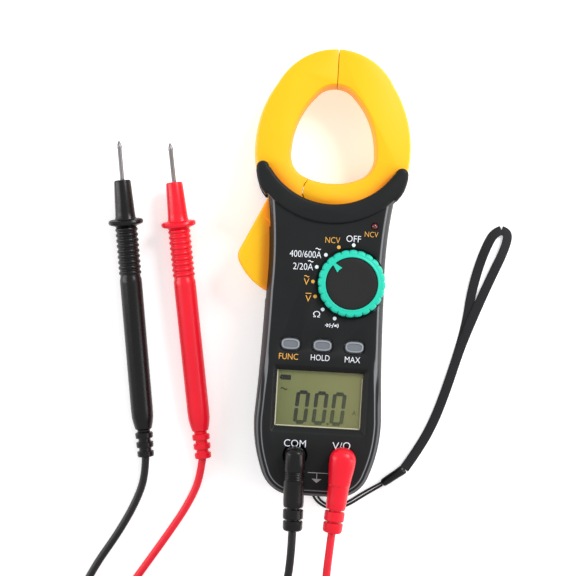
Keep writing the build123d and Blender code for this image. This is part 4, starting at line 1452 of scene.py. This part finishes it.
# ---- printing on the face -----------------------------------------------------------------------
def printed(name, words, x, y, width, height, weight, paint, z):
    """Lettering of a set width and height, centred, as a thin film of ink."""
    text = bpy.data.curves.new(name, "FONT")
    text.body = words
    text.size = 0.01
    text.offset = weight * MM
    text.resolution_u = 3
    holder = linked(name, text)
    bpy.context.view_layer.update()
    mesh = bpy.data.meshes.new_from_object(holder)
    bpy.data.objects.remove(holder)
    xs = [v.co.x for v in mesh.vertices]
    ys = [v.co.y for v in mesh.vertices]
    sx = width * MM / (max(xs) - min(xs))
    sy = height * MM / (max(ys) - min(ys))
    mx, my = (max(xs) + min(xs)) / 2, (max(ys) + min(ys)) / 2
    for v in mesh.vertices:
        v.co = ((v.co.x - mx) * sx + x * MM, (v.co.y - my) * sy + y * MM, (z + 0.03) * MM)
    finished(linked(name, mesh), "meter", paint, "case_black")


def ink(name, outlines, paint):
    """Flat printed shapes from their outlines."""
    parts = [prism("mark", outline, FACE_Z - 0.01, FACE_Z + 0.03) for outline in outlines]
    film = merged(name, [outward(part) for part in parts])
    finished(film, "meter", paint, "case_black")


def stroke(points, wide):
    """The outline of a pen stroke along a few points."""
    left, right = [], []
    for n, here in enumerate(points):
        before, after = points[max(n - 1, 0)], points[min(n + 1, len(points) - 1)]
        way = Vector((after[0] - before[0], after[1] - before[1])).normalized()
        left.append((here[0] - way.y * wide / 2, here[1] + way.x * wide / 2))
        right.append((here[0] + way.y * wide / 2, here[1] - way.x * wide / 2))
    return right + list(reversed(left))


def tilde(x, y, width):
    """The sign for alternating current."""
    points = [(x - width / 2 + width * n / 10, y + 0.28 * math.sin(TAU * n / 10)) for n in range(11)]
    return stroke(points, 0.38)


def dial_marks():
    """A dot for each setting, current signs, the continuity sign and the earth sign."""
    white, orange = [], []
    for n in range(8):
        t = math.radians(90 + 22.5 * n)
        dot = circle(KNOB[0] + 17.3 * math.cos(t), KNOB[1] + 17.3 * math.sin(t), 0.82, 24)
        (orange if n in (1, 4, 5) else white).append(dot)
    white += [tilde(-4.4, 10.6, 2.3), tilde(-7.4, 4.9, 2.3)]
    orange.append(tilde(-8.8, -1.9, 2.2))
    orange.append(stroke([(-8.9, -9.5), (-6.3, -9.5)], 0.36))
    x, y = 3.2, -23.3
    white.append([(x - 1.9, y - 0.85), (x - 0.5, y), (x - 1.9, y + 0.85)])
    white.append(stroke([(x - 0.45, y - 0.9), (x - 0.45, y + 0.9)], 0.34))
    white.append(stroke([(x - 2.6, y), (x + 0.4, y)], 0.28))
    white.append(stroke([(x + 0.55, y - 1.05), (x + 1.25, y + 1.05)], 0.32))
    white.append(rounded_box(x + 1.95, y, 0.7, 0.9, 0.1, 1))
    for radius in (0.8, 1.45):
        white.append(stroke(circle_run(x + 1.9, y, radius, -40, 40, 8), 0.3))
    ink("dial_marks_white", white, WHITE_INK)
    ink("dial_marks_orange", orange, ORANGE_INK)
    ink("earth_mark", [
        stroke([(-3.3, -89.6), (5.9, -89.6)], 0.30), stroke([(0.8, -89.6), (0.8, -92.3)], 0.34),
        [(-1.4, -92.3), (0.8, -94.1), (3.0, -92.3)],
    ], GREY_INK)


LABELS = [
    ("off", "OFF", 11.2, 16.0, 6.5, 2.9, -0.06, WHITE_INK),
    ("ncv", "NCV", 1.9, 14.9, 6.6, 2.7, -0.08, ORANGE_INK),
    ("high_amps", "400/600A", -9.9, 8.0, 14.2, 3.0, -0.06, WHITE_INK),
    ("low_amps", "2/20A", -10.7, 2.4, 9.0, 3.0, -0.06, WHITE_INK),
    ("ac_volts", "V", -8.8, -4.3, 2.5, 2.9, -0.04, ORANGE_INK),
    ("dc_volts", "V", -7.6, -11.8, 2.5, 2.9, -0.04, ORANGE_INK),
    ("ohms", "Ω", -3.4, -18.6, 3.1, 2.7, -0.06, WHITE_INK),
    ("lamp", "NCV", 19.1, 18.4, 6.0, 2.4, -0.1, ORANGE_INK),
    ("func", "FUNC", -14.9, -38.2, 8.6, 2.7, -0.036, ORANGE_INK),
    ("hold", "HOLD", -0.7, -38.0, 8.4, 2.6, -0.06, WHITE_INK),
    ("max", "MAX", 13.8, -38.1, 6.9, 2.6, -0.06, WHITE_INK),
    ("com", "COM", -9.8, -76.9, 9.8, 3.2, -0.06, WHITE_INK),
    ("volts_ohms", "V/Ω", 11.0, -76.9, 8.0, 3.5, -0.06, WHITE_INK),
]


def lettering():
    """Each label: its words, place, width, height, how much its strokes are thinned, and ink."""
    for name, *label in LABELS:
        printed(f"label_{name}", *label, FACE_Z)
    printed("lcd_unit", "A", 16.0, -62.3, 1.9, 2.1, 0.0, SEGMENTS, GLASS_Z + 0.01)


# ---- light and floor ----------------------------------------------------------------------------
def soft_light(name, place, aim, size, power):
    lamp = bpy.data.lights.new(name, "AREA")
    lamp.shape = "RECTANGLE"
    lamp.size, lamp.size_y = size
    lamp.energy = power
    obj = linked(name, lamp)
    obj.location = place
    obj.rotation_euler = (Vector(aim) - Vector(place)).to_track_quat("-Z", "Y").to_euler()


def studio():
    """Three soft lights, a bright surround and the table."""
    scene = bpy.context.scene
    scene.view_settings.view_transform = "Standard"
    world = bpy.data.worlds.new("studio_air")
    world.use_nodes = True
    air = world.node_tree.nodes["Background"]
    air.inputs["Color"].default_value = (1.0, 1.0, 1.0, 1.0)
    air.inputs["Strength"].default_value = 0.74
    scene.world = world
    soft_light("key_light", (0.45, 0.50, 0.62), (0.0, 0.0, 0.0), (0.30, 0.30), 5.0)
    soft_light("side_light", (-0.75, 0.05, 0.30), (0.0, 0.0, 0.02), (0.20, 0.70), 2.6)
    soft_light("right_light", (0.75, -0.10, 0.30), (0.0, 0.0, 0.02), (0.20, 0.70), 2.0)
    far = 3000
    corners = [(-far, -far, 0), (far, -far, 0), (far, far, 0), (-far, far, 0)]
    floor = shape("floor", corners, [(0, 1, 2, 3)])
    floor.data.materials.append(floor_paint())


# ---- everything ---------------------------------------------------------------------------------
paint_cad_nodes()
both_leads()
strap()
front_case()
rear_case()
battery_cover()
jaws()
trigger()
knob()
buttons()
display()
lcd_marks()
dial_marks()
lettering()
studio()
